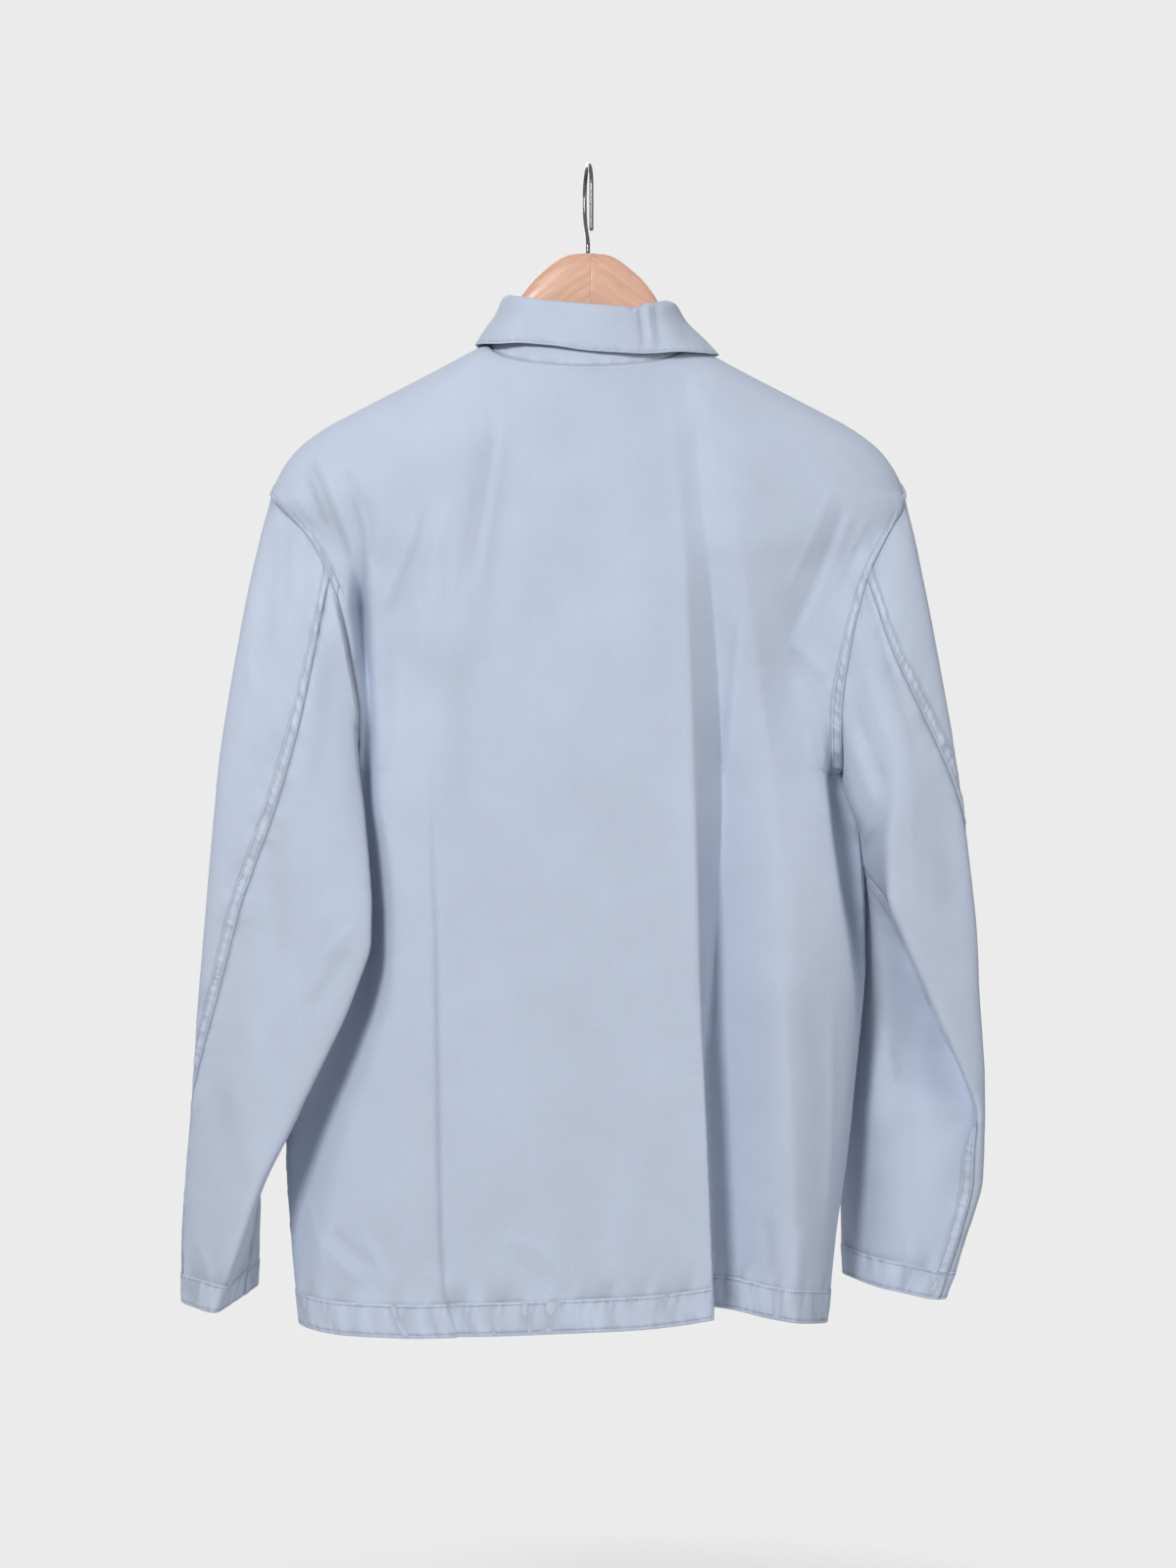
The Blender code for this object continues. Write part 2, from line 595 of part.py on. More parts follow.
def build_hanger():
    """Two wooden halves that meet beside the middle, topped along the shoulder line."""
    for name, sign in (("hanger_right", 1), ("hanger_left", -1)):
        joint = HANGER_JOINT_X + sign * GAP / 2
        xs = [joint] + [x for x in HANGER["x"] if x > 8] + [233, 236]
        rings = []
        for k, x in enumerate(xs):
            at = abs(x)
            top = float(read(HANGER, "x", "top", at)) - max(0, at - 226) * 1.1
            height = float(read(HANGER, "x", "height", at))
            depth = float(read(HANGER, "x", "depth", at))
            shrink = (1, 0.8, 0.45)[max(0, k - len(xs) + 3)]
            turn = np.arange(16) * 2 * np.pi / 16
            y = depth * shrink * np.sign(np.cos(turn)) * np.abs(np.cos(turn)) ** 0.9
            z = top - height / 2 + height / 2 * shrink * np.sin(turn)
            px = np.full(16, x if k == 0 else sign * at)
            rings.append(np.stack([px, y * sign, z], axis=-1))
        tube(name, rings, WOOD)


def build_hook():
    """Wire bent over the rail: stem, far strand, bend, near strand, rounded tip."""
    r = HOOK_IN + HOOK_WIRE
    turn = np.radians(np.linspace(0, 180, 19))
    path = [(0, HOOK_FOOT_Z), (0, -62), (2, -57), (9, -49), (17, -40), (20.6, -31)]
    path += [(r * np.cos(a), -HOOK_IN + r * np.sin(a)) for a in turn]
    path += [(-r, -32), (-r, HOOK_TIP_Z), (-r, HOOK_TIP_Z - 1.2)]
    path = np.array(path)
    swing = np.radians(HOOK_TURN)
    ahead = np.gradient(path, axis=0)
    ahead = ahead / np.linalg.norm(ahead, axis=1, keepdims=True)
    rings = []
    for k, ((y, z), (ty, tz)) in enumerate(zip(path, ahead)):
        size = HOOK_WIRE * (0.55 if k == len(path) - 1 else 1)
        around = np.arange(12) * 2 * np.pi / 12
        side = np.cos(around) * size
        lift = np.sin(around) * size
        py = y - lift * tz
        pz = z + lift * ty
        rings.append(np.stack([
            side * np.cos(swing) - py * np.sin(swing),
            side * np.sin(swing) + py * np.cos(swing),
            pz,
        ], axis=-1))
    tube("hook", rings, STEEL)


def main():
    for old in list(bpy.data.objects):
        bpy.data.objects.remove(old)
    grids, normals = build_cloth()
    build_buttons(grids, normals)
    build_hanger()
    build_hook()


main()
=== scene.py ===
"""Chef shirt on a wooden hanger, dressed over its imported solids.

Lengths in the tables are millimetres, in the frame of the solids: the origin is the inner top
of the hook, +Z up, -Y out of the shirt's back, +X the wearer's right. Meshes are in metres.
"""

import bpy
import numpy as np
from bpy.props import FloatProperty, FloatVectorProperty, IntProperty, PointerProperty
from mathutils import Matrix, Vector

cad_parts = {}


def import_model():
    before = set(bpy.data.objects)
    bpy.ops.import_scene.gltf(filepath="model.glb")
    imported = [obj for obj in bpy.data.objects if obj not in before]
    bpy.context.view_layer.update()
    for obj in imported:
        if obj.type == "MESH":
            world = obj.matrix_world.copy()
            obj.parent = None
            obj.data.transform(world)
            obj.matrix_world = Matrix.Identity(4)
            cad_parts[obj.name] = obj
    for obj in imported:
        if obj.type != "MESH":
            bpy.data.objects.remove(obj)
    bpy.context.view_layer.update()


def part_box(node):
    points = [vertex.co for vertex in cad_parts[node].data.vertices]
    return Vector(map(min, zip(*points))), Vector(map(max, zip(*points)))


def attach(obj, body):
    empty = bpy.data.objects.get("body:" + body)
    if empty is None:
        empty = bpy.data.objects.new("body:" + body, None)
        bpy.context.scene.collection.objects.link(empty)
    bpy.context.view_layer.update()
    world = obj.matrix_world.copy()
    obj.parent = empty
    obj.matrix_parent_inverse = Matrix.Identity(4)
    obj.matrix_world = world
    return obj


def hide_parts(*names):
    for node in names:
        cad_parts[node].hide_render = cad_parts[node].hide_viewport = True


bl_info = {
    "name": "Chef shirt on a hanger",
    "version": (1, 0, 0),
    "blender": (4, 5, 0),
    "location": "View3D > Sidebar > Shirt",
    "description": "Dresses the solids of a hanging chef shirt in cloth, thread, wood and steel",
    "category": "Object",
}

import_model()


# ---- sizes shared with the solids, mm --------------------------------------------------
HEM_Z = -903.0
ARMPIT_Z = -476.0
SHOULDER_X = 249.0
SHOULDER_Z = -257.0
NECK_HALF = 78.0
NECK_Z = -138.0
NECK_BACK = 50.0
NECK_BACK_DROP = 26.0
NECK_FRONT = 55.0
NECK_FRONT_DROP = 64.0
ARMHOLE_DEPTH = 35.0
ROLL = 80.0
LAP = 16.0
LAP_RAMP = 24.0
LAP_RISE = 2.5
STAND_TOP_HALF = 57.5
STAND_TOP_BACK = 45.0
STAND_TOP_FRONT = 48.0
STAND_TOP_Z = -108.0
STAND_TOP_BACK_DROP = 11.0
STAND_TOP_FRONT_DROP = 62.0
HOOK_IN = 20.0          # inner radius of the hook's bend
HOOK_TURN = 7.0         # degrees the hook is swung about its stem
HOOK_TIP_Z = -53.0
HOOK_FOOT_Z = -66.9
HANGER_JOINT_X = 2.3
SLEEVE_FREE = 0.24      # share of a sleeve's length over which its armhole is felt
BACK_SEAM_Z = -324.0    # where the sleeve's seams meet the armhole
FRONT_SEAM_Z = -352.0
EDGE_REACH = 2.5        # the higher, the closer to the seam the armhole's depth is felt
LEAF_END_X = 12.0       # half the gap between the ends of the collar leaf
PLACKET = 32.0           # from the left front's edge to the inner row of the placket
ABOVE_HEM = HEM_Z + 27.0  # where the side seams' bands stop
ABOVE_CUFF = -860.0      # where the sleeve seams' bands stop
LIP = 13.0              # how far the left sleeve rolls out over its armhole seam
SLEEVE_OVER_Z = -336.0  # below this the left sleeve hides its armhole seam
ANY_LOW, ANY_HIGH = -2000.0, 2000.0  # a seam that runs its whole length


def columns(names, *rows):
    """A table as a dict of named columns."""
    return dict(zip(names.split(), np.array(rows, float).T))


BODY = columns(
    "z left right back front square_left square_right",
    (-903, 226, 187, 70, 66, 2.8, 2.8), (-840, 232, 193, 69, 66, 2.8, 2.9),
    (-776, 236, 202, 67, 65, 2.8, 3.0), (-700, 224, 210, 64, 63, 2.8, 3.1),
    (-620, 206, 217, 61, 61, 2.7, 3.4), (-560, 197, 216, 59, 60, 2.8, 3.8),
    (-510, 188, 211, 57, 58, 2.8, 3.6), (-476, 181, 199, 56, 57, 2.8, 2.9),
    (-430, 177, 196, 54, 57, 3.0, 3.0), (-380, 184, 202, 52, 56, 3.2, 3.2),
    (-341, 193, 211, 50, 55, 3.2, 3.2), (-321, 201, 217, 49, 54, 3.2, 3.2),
    (-300, 211, 227, 48, 53, 3.2, 3.2), (-287, 220, 234, 47, 52, 3.2, 3.2),
    (-272, 236, 243, 46, 51, 3.2, 3.2), (-257, 249, 249, 46, 50, 3.2, 3.2),
)
SHOULDER = columns(
    "x z",
    (78, -138), (95, -146.5), (122, -161), (152, -176.5), (182, -192),
    (209, -207), (229, -223), (240, -238), (249, -257),
)
# soft folds of the body: a line from top to foot, half width, height out (trough if minus)
FOLDS = columns(
    "side top_x top_z foot_x foot_z width height",
    (-1, -84, -180, -112, -430, 20, 5), (-1, -60, -180, -76, -420, 14, -2),
    (-1, 112, -200, 116, -470, 24, 3), (-1, -178, -300, -172, -520, 6.0, -26),
    (-1, -140, -520, -132, -960, 22, 3), (-1, 172, -290, 150, -470, 20, -4),
    (-1, -10, -620, -20, -960, 60, -3), (-1, 150, -600, 158, -960, 24, 7),
    (1, -120, -330, -135, -960, 34, 5), (1, 112, -360, 120, -960, 40, 5),
    (1, 165, -300, 158, -520, 18, -5), (1, -168, -300, -160, -500, 18, -5),
)
# pleats of the back: where the crest runs, how wide the wall behind it is, how far off the
# set-back part comes level again and how deep it lies at the foot of the wall
PLEAT_DEEP = columns(
    "z x wall reach depth",
    (-165, 60, 15, 24, 0), (-214, 66, 16, 30, 3), (-304, 74, 19, 44, 9),
    (-401, 78, 23, 54, 19), (-484, 80.5, 24, 62, 29), (-552, 82.5, 20, 64, 36),
    (-622, 84.5, 14, 64, 42), (-677, 87.5, 7, 64, 46), (-708, 89.5, 4.0, 64, 48),
    (-903, 97, 3.5, 64, 46),
)
PLEAT_SHALLOW = columns(
    "z x wall reach depth",
    (-440, -122, 2.5, 50, 0), (-520, -121, 2.6, 54, 1.8), (-600, -118, 2.7, 58, 3.0),
    (-723, -116, 2.9, 60, 3.8), (-820, -114, 2.8, 58, 3.8), (-865, -111, 2.4, 50, 3.4),
    (-903, -101, 2.1, 44, 3.2),
)
# where the back turns in beside a sleeve: the turn's place, how wide and how much of it
TUCK_RIGHT = columns(
    "z x width share",
    (-380, 190, 8, 0.0), (-430, 183, 8, 0.25), (-470, 182, 7, 0.9), (-500, 184, 7, 0.93),
    (-560, 192, 7, 0.9), (-610, 201, 7, 0.7), (-660, 207, 7, 0.3), (-720, 208, 7, 0.0),
)
TUCK_LEFT = columns(
    "z x width share",
    (-470, 160, 14, 0.0), (-500, 158, 16, 0.3), (-540, 150, 24, 0.52), (-590, 146, 30, 0.64),
    (-640, 147, 34, 0.58), (-690, 158, 44, 0.5), (-750, 180, 45, 0.5), (-820, 198, 34, 0.35),
    (-875, 212, 15, 0.0),
)
# how far the hem of the back rises above its straight line
HEM_RISE = columns(
    "x rise",
    (-226, 0), (-186, -2.5), (-149, -2), (-74, 0), (0, 3), (37, 5), (74, 9), (92, 12),
    (97.5, 13), (113, 12.5), (123, 11.5), (136, 10), (148, 9), (162, 7), (176, 4), (187, 0),
)
SLEEVE_LEFT = columns(
    "z_out z_in ox oy nx ny ix iy fx fy soft back_seam front_seam",
    (-262, -478, 251, -4, 206, -38, 181, -14, 206, 36, 0.13, 0.227, 0.66),
    (-310, -490, 264, -18, 218, -50, 175, -38, 224, 42, 0.13, 0.210, 0.66),
    (-380, -512, 275, -28, 224, -60, 169, -52, 232, 40, 0.10, 0.195, 0.65),
    (-470, -548, 287, -34, 226, -68, 165, -59, 240, 36, 0.08, 0.166, 0.60),
    (-530, -580, 292, -36, 228, -72, 163, -64, 246, 33, 0.07, 0.128, 0.56),
    (-580, -604, 296, -38, 233, -74, 163, -68, 250, 32, 0.07, 0.097, 0.53),
    (-624, -632, 300, -38, 240, -74, 171, -70, 252, 32, 0.07, 0.080, 0.50),
    (-660, -664, 303, -37, 246, -73, 184, -72, 254, 34, 0.07, 0.062, 0.49),
    (-700, -702, 305, -35, 255, -70, 203, -73, 257, 37, 0.07, 0.03, 0.48),
    (-745, -745, 309, -32, 270, -63, 224, -74, 260, 40, 0.08, -0.01, 0.48),
    (-790, -790, 314, -28, 283, -54, 248, -73, 264, 46, 0.10, -0.01, 0.48),
    (-840, -840, 318, -18, 298, -42, 266, -68, 265, 52, 0.10, 0.01, 0.49),
    (-887, -887, 320, -8, 306, -32, 285, -60, 266, 57, 0.10, 0.05, 0.50),
)
SLEEVE_RIGHT = columns(
    "z_out z_in ox oy nx ny ux uy ix iy wx wy fx fy soft back_seam front_seam",
    (-262, -478, 251, -6, 214, -38, 209, -20, 202, 0, 205, 20, 214, 36, 0.13, 0.183, 0.66),
    (-310, -488, 262, -24, 230, -50, 216, -37, 201, -22, 204, 15, 234, 46, 0.12, 0.154, 0.64),
    (-380, -500, 273, -36, 236, -56, 221, -46, 206, -34, 208, 10, 246, 56, 0.09, 0.099, 0.57),
    (-450, -520, 281, -42, 234, -60, 224, -46, 214, -30, 216, 15, 254, 64, 0.06, 0.044, 0.47),
    (-510, -544, 289, -45, 229, -62, 224, -34, 216, -2, 218, 30, 262, 70, 0.05, -0.01, 0.40),
    (-560, -572, 295, -46, 229, -62, 233, -18, 222, 5, 214, 40, 264, 74, 0.05, -0.09, 0.34),
    (-600, -604, 299, -46, 241, -61, 248, 6, 226, 8, 210, 48, 264, 74, 0.05, -0.16, 0.315),
    (-640, -642, 301, -45, 258, -58, 267, 12, 227, 8, 207, 52, 265, 72, 0.05, -0.23, 0.281),
    (-680, -680, 304, -43, 276, -54, 284, 12, 227, 6, 204, 54, 267, 66, 0.05, -0.28, 0.239),
    (-710, -710, 306, -40, 289, -50, 294, 2, 227, 2, 202, 55, 269, 59, 0.05, -0.31, 0.17),
    (-740, -740, 307, -36, 299, -46, 299, -22, 227, -4, 201, 56, 270, 54, 0.06, -0.34, 0.078),
    (-785, -785, 306, -32, 298, -44, 272, -22, 227, -5, 202, 56, 270, 48, 0.07, -0.36, 0.065),
    (-830, -830, 294, -34, 285, -47, 262, -26, 226, -6, 203, 56, 266, 44, 0.08, -0.37, 0.06),
    (-880, -877, 277, -36, 267, -46, 250, -30, 225, -8, 204, 54, 260, 36, 0.09, -0.38, 0.05),
)
LEAF = columns(
    "angle drop spread",
    (-180, 54, 15), (-150, 42, 15), (-128, 34, 16), (-108, 32, 21), (-90, 34.5, 31),
    (-65, 34, 23), (-45, 31.2, 12.5), (-25, 30.5, 8.5), (0, 31.6, 6.5), (20, 32, 8.5),
    (45, 34.5, 16), (65, 37, 29), (90, 38.5, 45),
    (108, 28, 32), (128, 30, 21), (150, 42, 16), (180, 54, 15),
)
# how far the collar's fold stands above its even line, behind
COLLAR_RISE = columns(
    "x rise",
    (-78, 3.8), (-62, 3.8), (-30, 1.1), (0, -1.6), (31, -3.6), (40, -3.0), (52, -0.7),
    (78, -0.7),
)
ROLL_OVER = columns(
    "spread drop out up",
    (0.0, 0.0, 0.0, 0.0), (0.0, 0.0, 0.8, 2.8), (0.0, 0.0, 3.6, 4.4), (0.1, 0.0, 5.8, 2.2),
    (0.32, 0.32, 5.2, 0.0), (0.66, 0.66, 3.0, 0.0), (1.0, 1.0, 0.0, 0.0),
)
HANGER = columns(
    "x top height depth",
    (0, -67, 58, 8), (14, -68.5, 57, 8), (38, -84, 50, 8), (51, -99, 44, 8),
    (60, -116, 38, 7), (68, -133, 32, 7), (76, -143.5, 30, 7), (95, -148.4, 31, 8),
    (122, -162.7, 30, 9), (152, -178.2, 28, 10), (182, -193.7, 26, 11), (209, -208.9, 23, 11),
    (226, -223.9, 16, 9), (236, -236.0, 8, 5),
)


# ---- creases, mm -----------------------------------------------------------------------
# each a curve through three points seen from the back; height out of the cloth (trough if
# minus); crisp makes the right flank steeper by that factor, the left one when minus
CREASE = "top_x top_z mid_x mid_z foot_x foot_z width height crisp"
CREASES_BACK = columns(
    CREASE,
    # left armhole and the pocket beside the sleeve
    (-217, -232, -200, -266, -174, -343, 4, -2.4, 1.5),
    (-211, -232, -194, -266, -170, -338, 4, 1.6, 1.3),
    (-220, -236, -208, -268, -202, -288, 3, -2.2, 1.6),
    (-185, -256, -173, -306, -182, -364, 4, -3.2, -1.6),
    (-179, -262, -168, -304, -172, -350, 4, 1.6, 1.4),
    (-189, -238, -178, -257, -166, -276, 3, -1.2, 1.5),
    (-162, -250, -158, -282, -164, -322, 4, 1.0, 1.4),
    (-228, -258, -218, -272, -208, -286, 3, 1.0, 1.5),
    (-222, -244, -210, -262, -198, -290, 3, -0.9, 1.5),
    (-180, -282, -170, -312, -166, -340, 3, 1.0, -1.4),
    (-172, -262, -166, -292, -168, -318, 3, -0.8, 1.4),
    # long soft draw lines of the left blade
    (-64, -200, -70, -252, -87, -363, 9, 1.8, 1.4),
    (-70, -206, -78, -256, -94, -350, 7, -1.2, 1.3),
    (-99, -245, -119, -317, -126, -376, 7, 1.5, 1.5),
    (-119, -259, -138, -317, -158, -363, 6, -1.5, 1.4),
    (-124, -262, -146, -318, -164, -356, 5, 1.1, 1.3),
    (-84, -240, -92, -300, -106, -360, 3, -0.7, 1.5),
    (-134, -282, -134, -292, -135, -302, 2, 0.9, 1.0),
    (-131, -336, -129, -362, -129, -388, 3, 0.9, 1.6),
    (-112, -300, -110, -330, -113, -352, 3, -0.6, 1.4),
    (-100, -380, -98, -440, -104, -520, 12, -0.9, 1.0),
    (-142, -390, -146, -430, -150, -480, 4, 0.9, 1.5),
    (-150, -366, -154, -404, -152, -440, 4, -0.8, 1.4),
    # beside the deep pleat
    (115, -349, 108, -414, 102, -493, 3, -1.7, 1.6),
    (120, -345, 114, -410, 107, -480, 5, 1.4, 1.4), (86, -214, 94, -262, 101, -320, 8, 1.2, 1.0),
    (30, -250, 34, -330, 36, -420, 14, 0.7, 1.0),
    # right blade, drawn towards the underarm
    (200, -259, 180, -317, 154, -375, 8, -2.0, 1.5),
    (206, -262, 187, -318, 162, -374, 6, 1.4, 1.3),
    (190, -250, 172, -296, 152, -336, 4, 0.9, 1.5),
    (218, -274, 210, -292, 202, -306, 3, 1.0, 1.5),
    (212, -294, 202, -318, 194, -338, 3, -1.0, 1.5),
    (154, -374, 171, -393, 187, -408, 4, -1.9, 1.6),
    (156, -368, 174, -386, 189, -398, 4, 1.4, 1.4),
    (160, -398, 174, -424, 184, -452, 6, 1.4, 1.3),
    (158, -384, 172, -406, 184, -424, 3, -1.0, 1.4),
    (166, -410, 176, -430, 186, -442, 3, -1.0, 1.5),
    (168, -440, 174, -462, 178, -500, 4, 0.9, 1.5),
    (130, -396, 142, -402, 154, -412, 3, 0.8, 1.4),
    (186, -640, 187, -740, 182, -830, 4, 1.2, 1.8),
    (150, -520, 156, -580, 156, -660, 10, 0.8, 1.3),
    # above the hem
    (-208, -828, -190, -848, -166, -862, 6, 1.6, -1.5),
    (-196, -820, -180, -838, -158, -852, 4, -1.2, -1.5),
    (-176, -822, -160, -844, -150, -866, 4, 1.3, 1.3),
    (-216, -800, -208, -830, -198, -862, 5, 1.2, 1.5),
    (-73, -832, -38, -838, -14, -872, 5, 1.4, -2.0),
    (-60, -846, -44, -852, -30, -868, 3, -0.9, -1.5),
    (-126, -850, -112, -858, -98, -870, 4, 0.9, 1.0),
    (26, -800, 20, -836, 16, -872, 9, 0.8, 1.0), (136, -820, 140, -850, 140, -876, 5, -1.4, 1.0),
    (166, -826, 160, -850, 158, -876, 6, 1.2, 1.0),
)
CREASES_FRONT = columns(
    CREASE,
    (-196, -300, -180, -330, -160, -352, 10, -2.4, 1.3),
    (-170, -352, -150, -380, -128, -392, 12, 2.0, 1.0),
    (198, -296, 180, -330, 158, -356, 10, -2.4, -1.3),
    (172, -356, 150, -384, 130, -398, 12, 2.0, 1.0),
    (-70, -480, -76, -600, -70, -740, 16, 2.0, 1.5),
    (62, -500, 70, -620, 66, -760, 14, -2.2, 1.0),
    (-160, -600, -156, -720, -150, -860, 12, -2.4, 1.5),
    (150, -620, 146, -740, 140, -868, 12, 2.2, -1.5),
    (38, -300, 46, -340, 60, -380, 8, 1.2, 1.0), (-34, -390, -50, -420, -72, -440, 8, -1.2, 1.0),
)
CREASES_LEFT_SLEEVE = columns(
    CREASE,
    (-237, -267, -231, -314, -234, -364, 3, -1.1, 1.4),
    (-244, -276, -242, -330, -246, -392, 6, -1.2, 1.2),
    (-226, -300, -222, -322, -224, -344, 3, 0.8, 1.5),
    (-256, -330, -258, -400, -268, -470, 7, 0.9, -1.2),
    (-262, -380, -256, -402, -248, -424, 4, 0.8, 1.0),
    (-196, -372, -200, -430, -212, -500, 8, -1.1, 1.0),
    (-236, -500, -232, -560, -224, -640, 12, -1.2, 1.0),
    (-176, -592, -188, -600, -202, -620, 4, 1.1, -1.6),
    (-178, -606, -194, -630, -214, -660, 6, -1.0, 1.0),
    (-224, -590, -218, -650, -216, -700, 6, 0.9, 1.2),
    (-262, -640, -246, -690, -226, -730, 12, 1.1, 1.0),
    (-286, -700, -270, -760, -256, -800, 10, -1.0, 1.0),
    (-304, -830, -292, -850, -286, -866, 4, 1.0, 1.0),
)
CREASES_RIGHT_SLEEVE = columns(
    CREASE,
    (214, -330, 222, -370, 238, -420, 5, -1.6, 1.3),
    (224, -380, 238, -420, 256, -470, 5, -1.6, 1.3),
    (212, -392, 222, -424, 234, -462, 5, 1.5, -1.3),
    (206, -420, 216, -452, 230, -492, 5, -1.5, 1.3),
    (204, -440, 212, -470, 224, -508, 5, 1.8, 1.0),
    (236, -370, 246, -400, 258, -430, 6, 1.2, 1.0),
    (262, -470, 270, -530, 278, -600, 10, -1.0, 1.0),
    (250, -480, 246, -530, 252, -590, 6, 0.9, 1.3),
    (212, -600, 212, -680, 210, -780, 4, 1.8, 2.0),
    (232, -676, 236, -692, 236, -712, 4, 1.2, -1.5),
    (240, -690, 244, -706, 242, -722, 3, -1.0, 1.0),
    (234, -700, 240, -714, 240, -730, 3, 0.9, 1.0),
    (268, -640, 262, -740, 258, -820, 10, 1.4, 1.0),
    (232, -740, 228, -800, 230, -850, 10, -1.0, 1.0),
    (246, -820, 248, -838, 250, -856, 4, 1.0, 1.0),
)
CREASES_LEAF = columns(
    CREASE,
    (38, -104, 40, -122, 44, -158, 3.6, -1.5, -1.3),
    (52, -104, 53, -124, 57, -156, 4.2, -1.2, 1.3),
    (45, -104, 46, -122, 50, -156, 3.4, 1.2, 1.2),
    (-40, -104, -52, -124, -62, -150, 9.0, 0.8, 1.2),
    (66, -108, 74, -124, 78, -146, 8.0, -0.7, 1.2),
)


# ---- curves ----------------------------------------------------------------------------
def smooth(xs, ys, at):
    """Monotone cubic through (xs, ys), held level past the ends."""
    order = np.argsort(xs)
    xs = np.asarray(xs, float)[order]
    ys = np.asarray(ys, float)[order]
    gap = np.diff(xs)
    rise = np.diff(ys) / gap
    slope = np.zeros_like(xs)
    slope[0] = rise[0]
    slope[-1] = rise[-1]
    for k in range(1, len(xs) - 1):
        if rise[k - 1] * rise[k] > 0:
            w1 = 2 * gap[k] + gap[k - 1]
            w2 = gap[k] + 2 * gap[k - 1]
            slope[k] = (w1 + w2) / (w1 / rise[k - 1] + w2 / rise[k])
    at = np.clip(at, xs[0], xs[-1])
    k = np.clip(np.searchsorted(xs, at) - 1, 0, len(gap) - 1)
    t = (at - xs[k]) / gap[k]
    start = ys[k] * (1 + 2 * t) * (1 - t) ** 2 + slope[k] * gap[k] * t * (1 - t) ** 2
    end = ys[k + 1] * (3 - 2 * t) * t ** 2 - slope[k + 1] * gap[k] * (1 - t) * t ** 2
    return start + end


def read(table, key, name, at):
    """A table's column at any place along its key column."""
    return smooth(table[key], table[name], at)


def ease(a, b, v):
    """0 up to a, 1 from b on, smooth between."""
    t = np.clip((v - a) / (b - a), 0, 1)
    return t * t * (3 - 2 * t)


def rows_of(table):
    """The rows of a table, each a dict by column name."""
    for k in range(len(next(iter(table.values())))):
        yield {name: values[k] for name, values in table.items()}


def arc_length(line):
    """Distance along a line of points from its first one."""
    step = np.linalg.norm(np.diff(line, axis=0), axis=1)
    return np.concatenate([[0], np.cumsum(step)])


def walk(line, at):
    """Points of a line at the given distances along it."""
    return between(at, arc_length(line), line)


def between(at, places, values):
    """Rows of values, known at places, interpolated at other ones."""
    return np.stack([np.interp(at, places, column) for column in values.T], axis=-1)


def smooth_rows(places, rows, at):
    """Smooth rows of points between known ones."""
    flat = rows.reshape(len(rows), -1)
    fine = np.stack([smooth(places, column, at) for column in flat.T], axis=-1)
    return fine.reshape(len(at), *rows.shape[1:])


def circle(count, radius, z, middle=(0.0, 0.0)):
    """Level ring of points round a middle."""
    turn = np.arange(count) * 2 * np.pi / count
    x, y = middle[0] + np.cos(turn) * radius, middle[1] + np.sin(turn) * radius
    return np.stack([x, y, np.full(count, z)], axis=-1)


def wander(at, pitch, seed):
    """Smooth uneven run of values in -1..1, about one swing each two pitches."""
    knots = np.random.default_rng(seed).uniform(-1, 1, 4096)
    place = np.asarray(at, float) / pitch + 1000.0
    k = np.floor(place).astype(int)
    t = place - k
    t = t * t * (3 - 2 * t)
    return knots[k % 4096] * (1 - t) + knots[(k + 1) % 4096] * t


def ripple(u, v, pitch, seed):
    """Smooth uneven field over two lengths, in -1..1."""
    knots = np.random.default_rng(seed).uniform(-1, 1, (64, 64))
    u = np.asarray(u, float) / pitch + 100.0
    v = np.asarray(v, float) / pitch + 100.0
    i, j = np.floor(u).astype(int), np.floor(v).astype(int)
    s, t = u - i, v - j
    s, t = s * s * (3 - 2 * s), t * t * (3 - 2 * t)
    low = knots[i % 64, j % 64] * (1 - s) + knots[(i + 1) % 64, j % 64] * s
    high = knots[i % 64, (j + 1) % 64] * (1 - s) + knots[(i + 1) % 64, (j + 1) % 64] * s
    return low * (1 - t) + high * t


def crease_height(x, z, table):
    """Height of the named creases over places seen from the back."""
    out = np.zeros_like(x)
    t = np.linspace(0, 1, 33)[:, None]
    for c in rows_of(table):
        top = np.array([c["top_x"], c["top_z"]])
        mid = np.array([c["mid_x"], c["mid_z"]])
        foot = np.array([c["foot_x"], c["foot_z"]])
        bend = 2 * mid - (top + foot) / 2
        curve = top * (1 - t) ** 2 + 2 * bend * t * (1 - t) + foot * t ** 2
        low = curve.min(0) - 4 * c["width"]
        high = curve.max(0) + 4 * c["width"]
        near = (x > low[0]) & (x < high[0]) & (z > low[1]) & (z < high[1])
        if not near.any():
            continue
        place = np.stack([x[near], z[near]], axis=-1)
        away = place[:, None] - curve[None]
        k = np.argmin((away ** 2).sum(-1), axis=1)
        ahead = np.gradient(curve, axis=0)
        ahead = ahead / np.linalg.norm(ahead, axis=1, keepdims=True)
        off = place - curve[k]
        along = (off * ahead[k]).sum(-1)
        right = ahead[k, 0] * off[:, 1] - ahead[k, 1] * off[:, 0]
        steep = abs(c["crisp"])
        width = c["width"] / np.where(right * c["crisp"] > 0, steep, 1.0)
        past = np.where((k == 0) | (k == len(curve) - 1), np.abs(along), 0) / c["width"]
        share = k / (len(curve) - 1)
        fade = ease(0, 0.22, share) * ease(1, 0.78, share)
        peak = 2.0 if steep < 1.15 else 1.25
        out[near] += c["height"] * fade * np.exp(-np.abs(right / width) ** peak - past ** 2)
    return out


# ---- body ------------------------------------------------------------------------------
def neck_arc(x):
    """Share of the neck's drop and depth at x, 1 in the middle."""
    return np.sqrt(np.clip(1 - (x / NECK_HALF) ** 2, 0, 1))


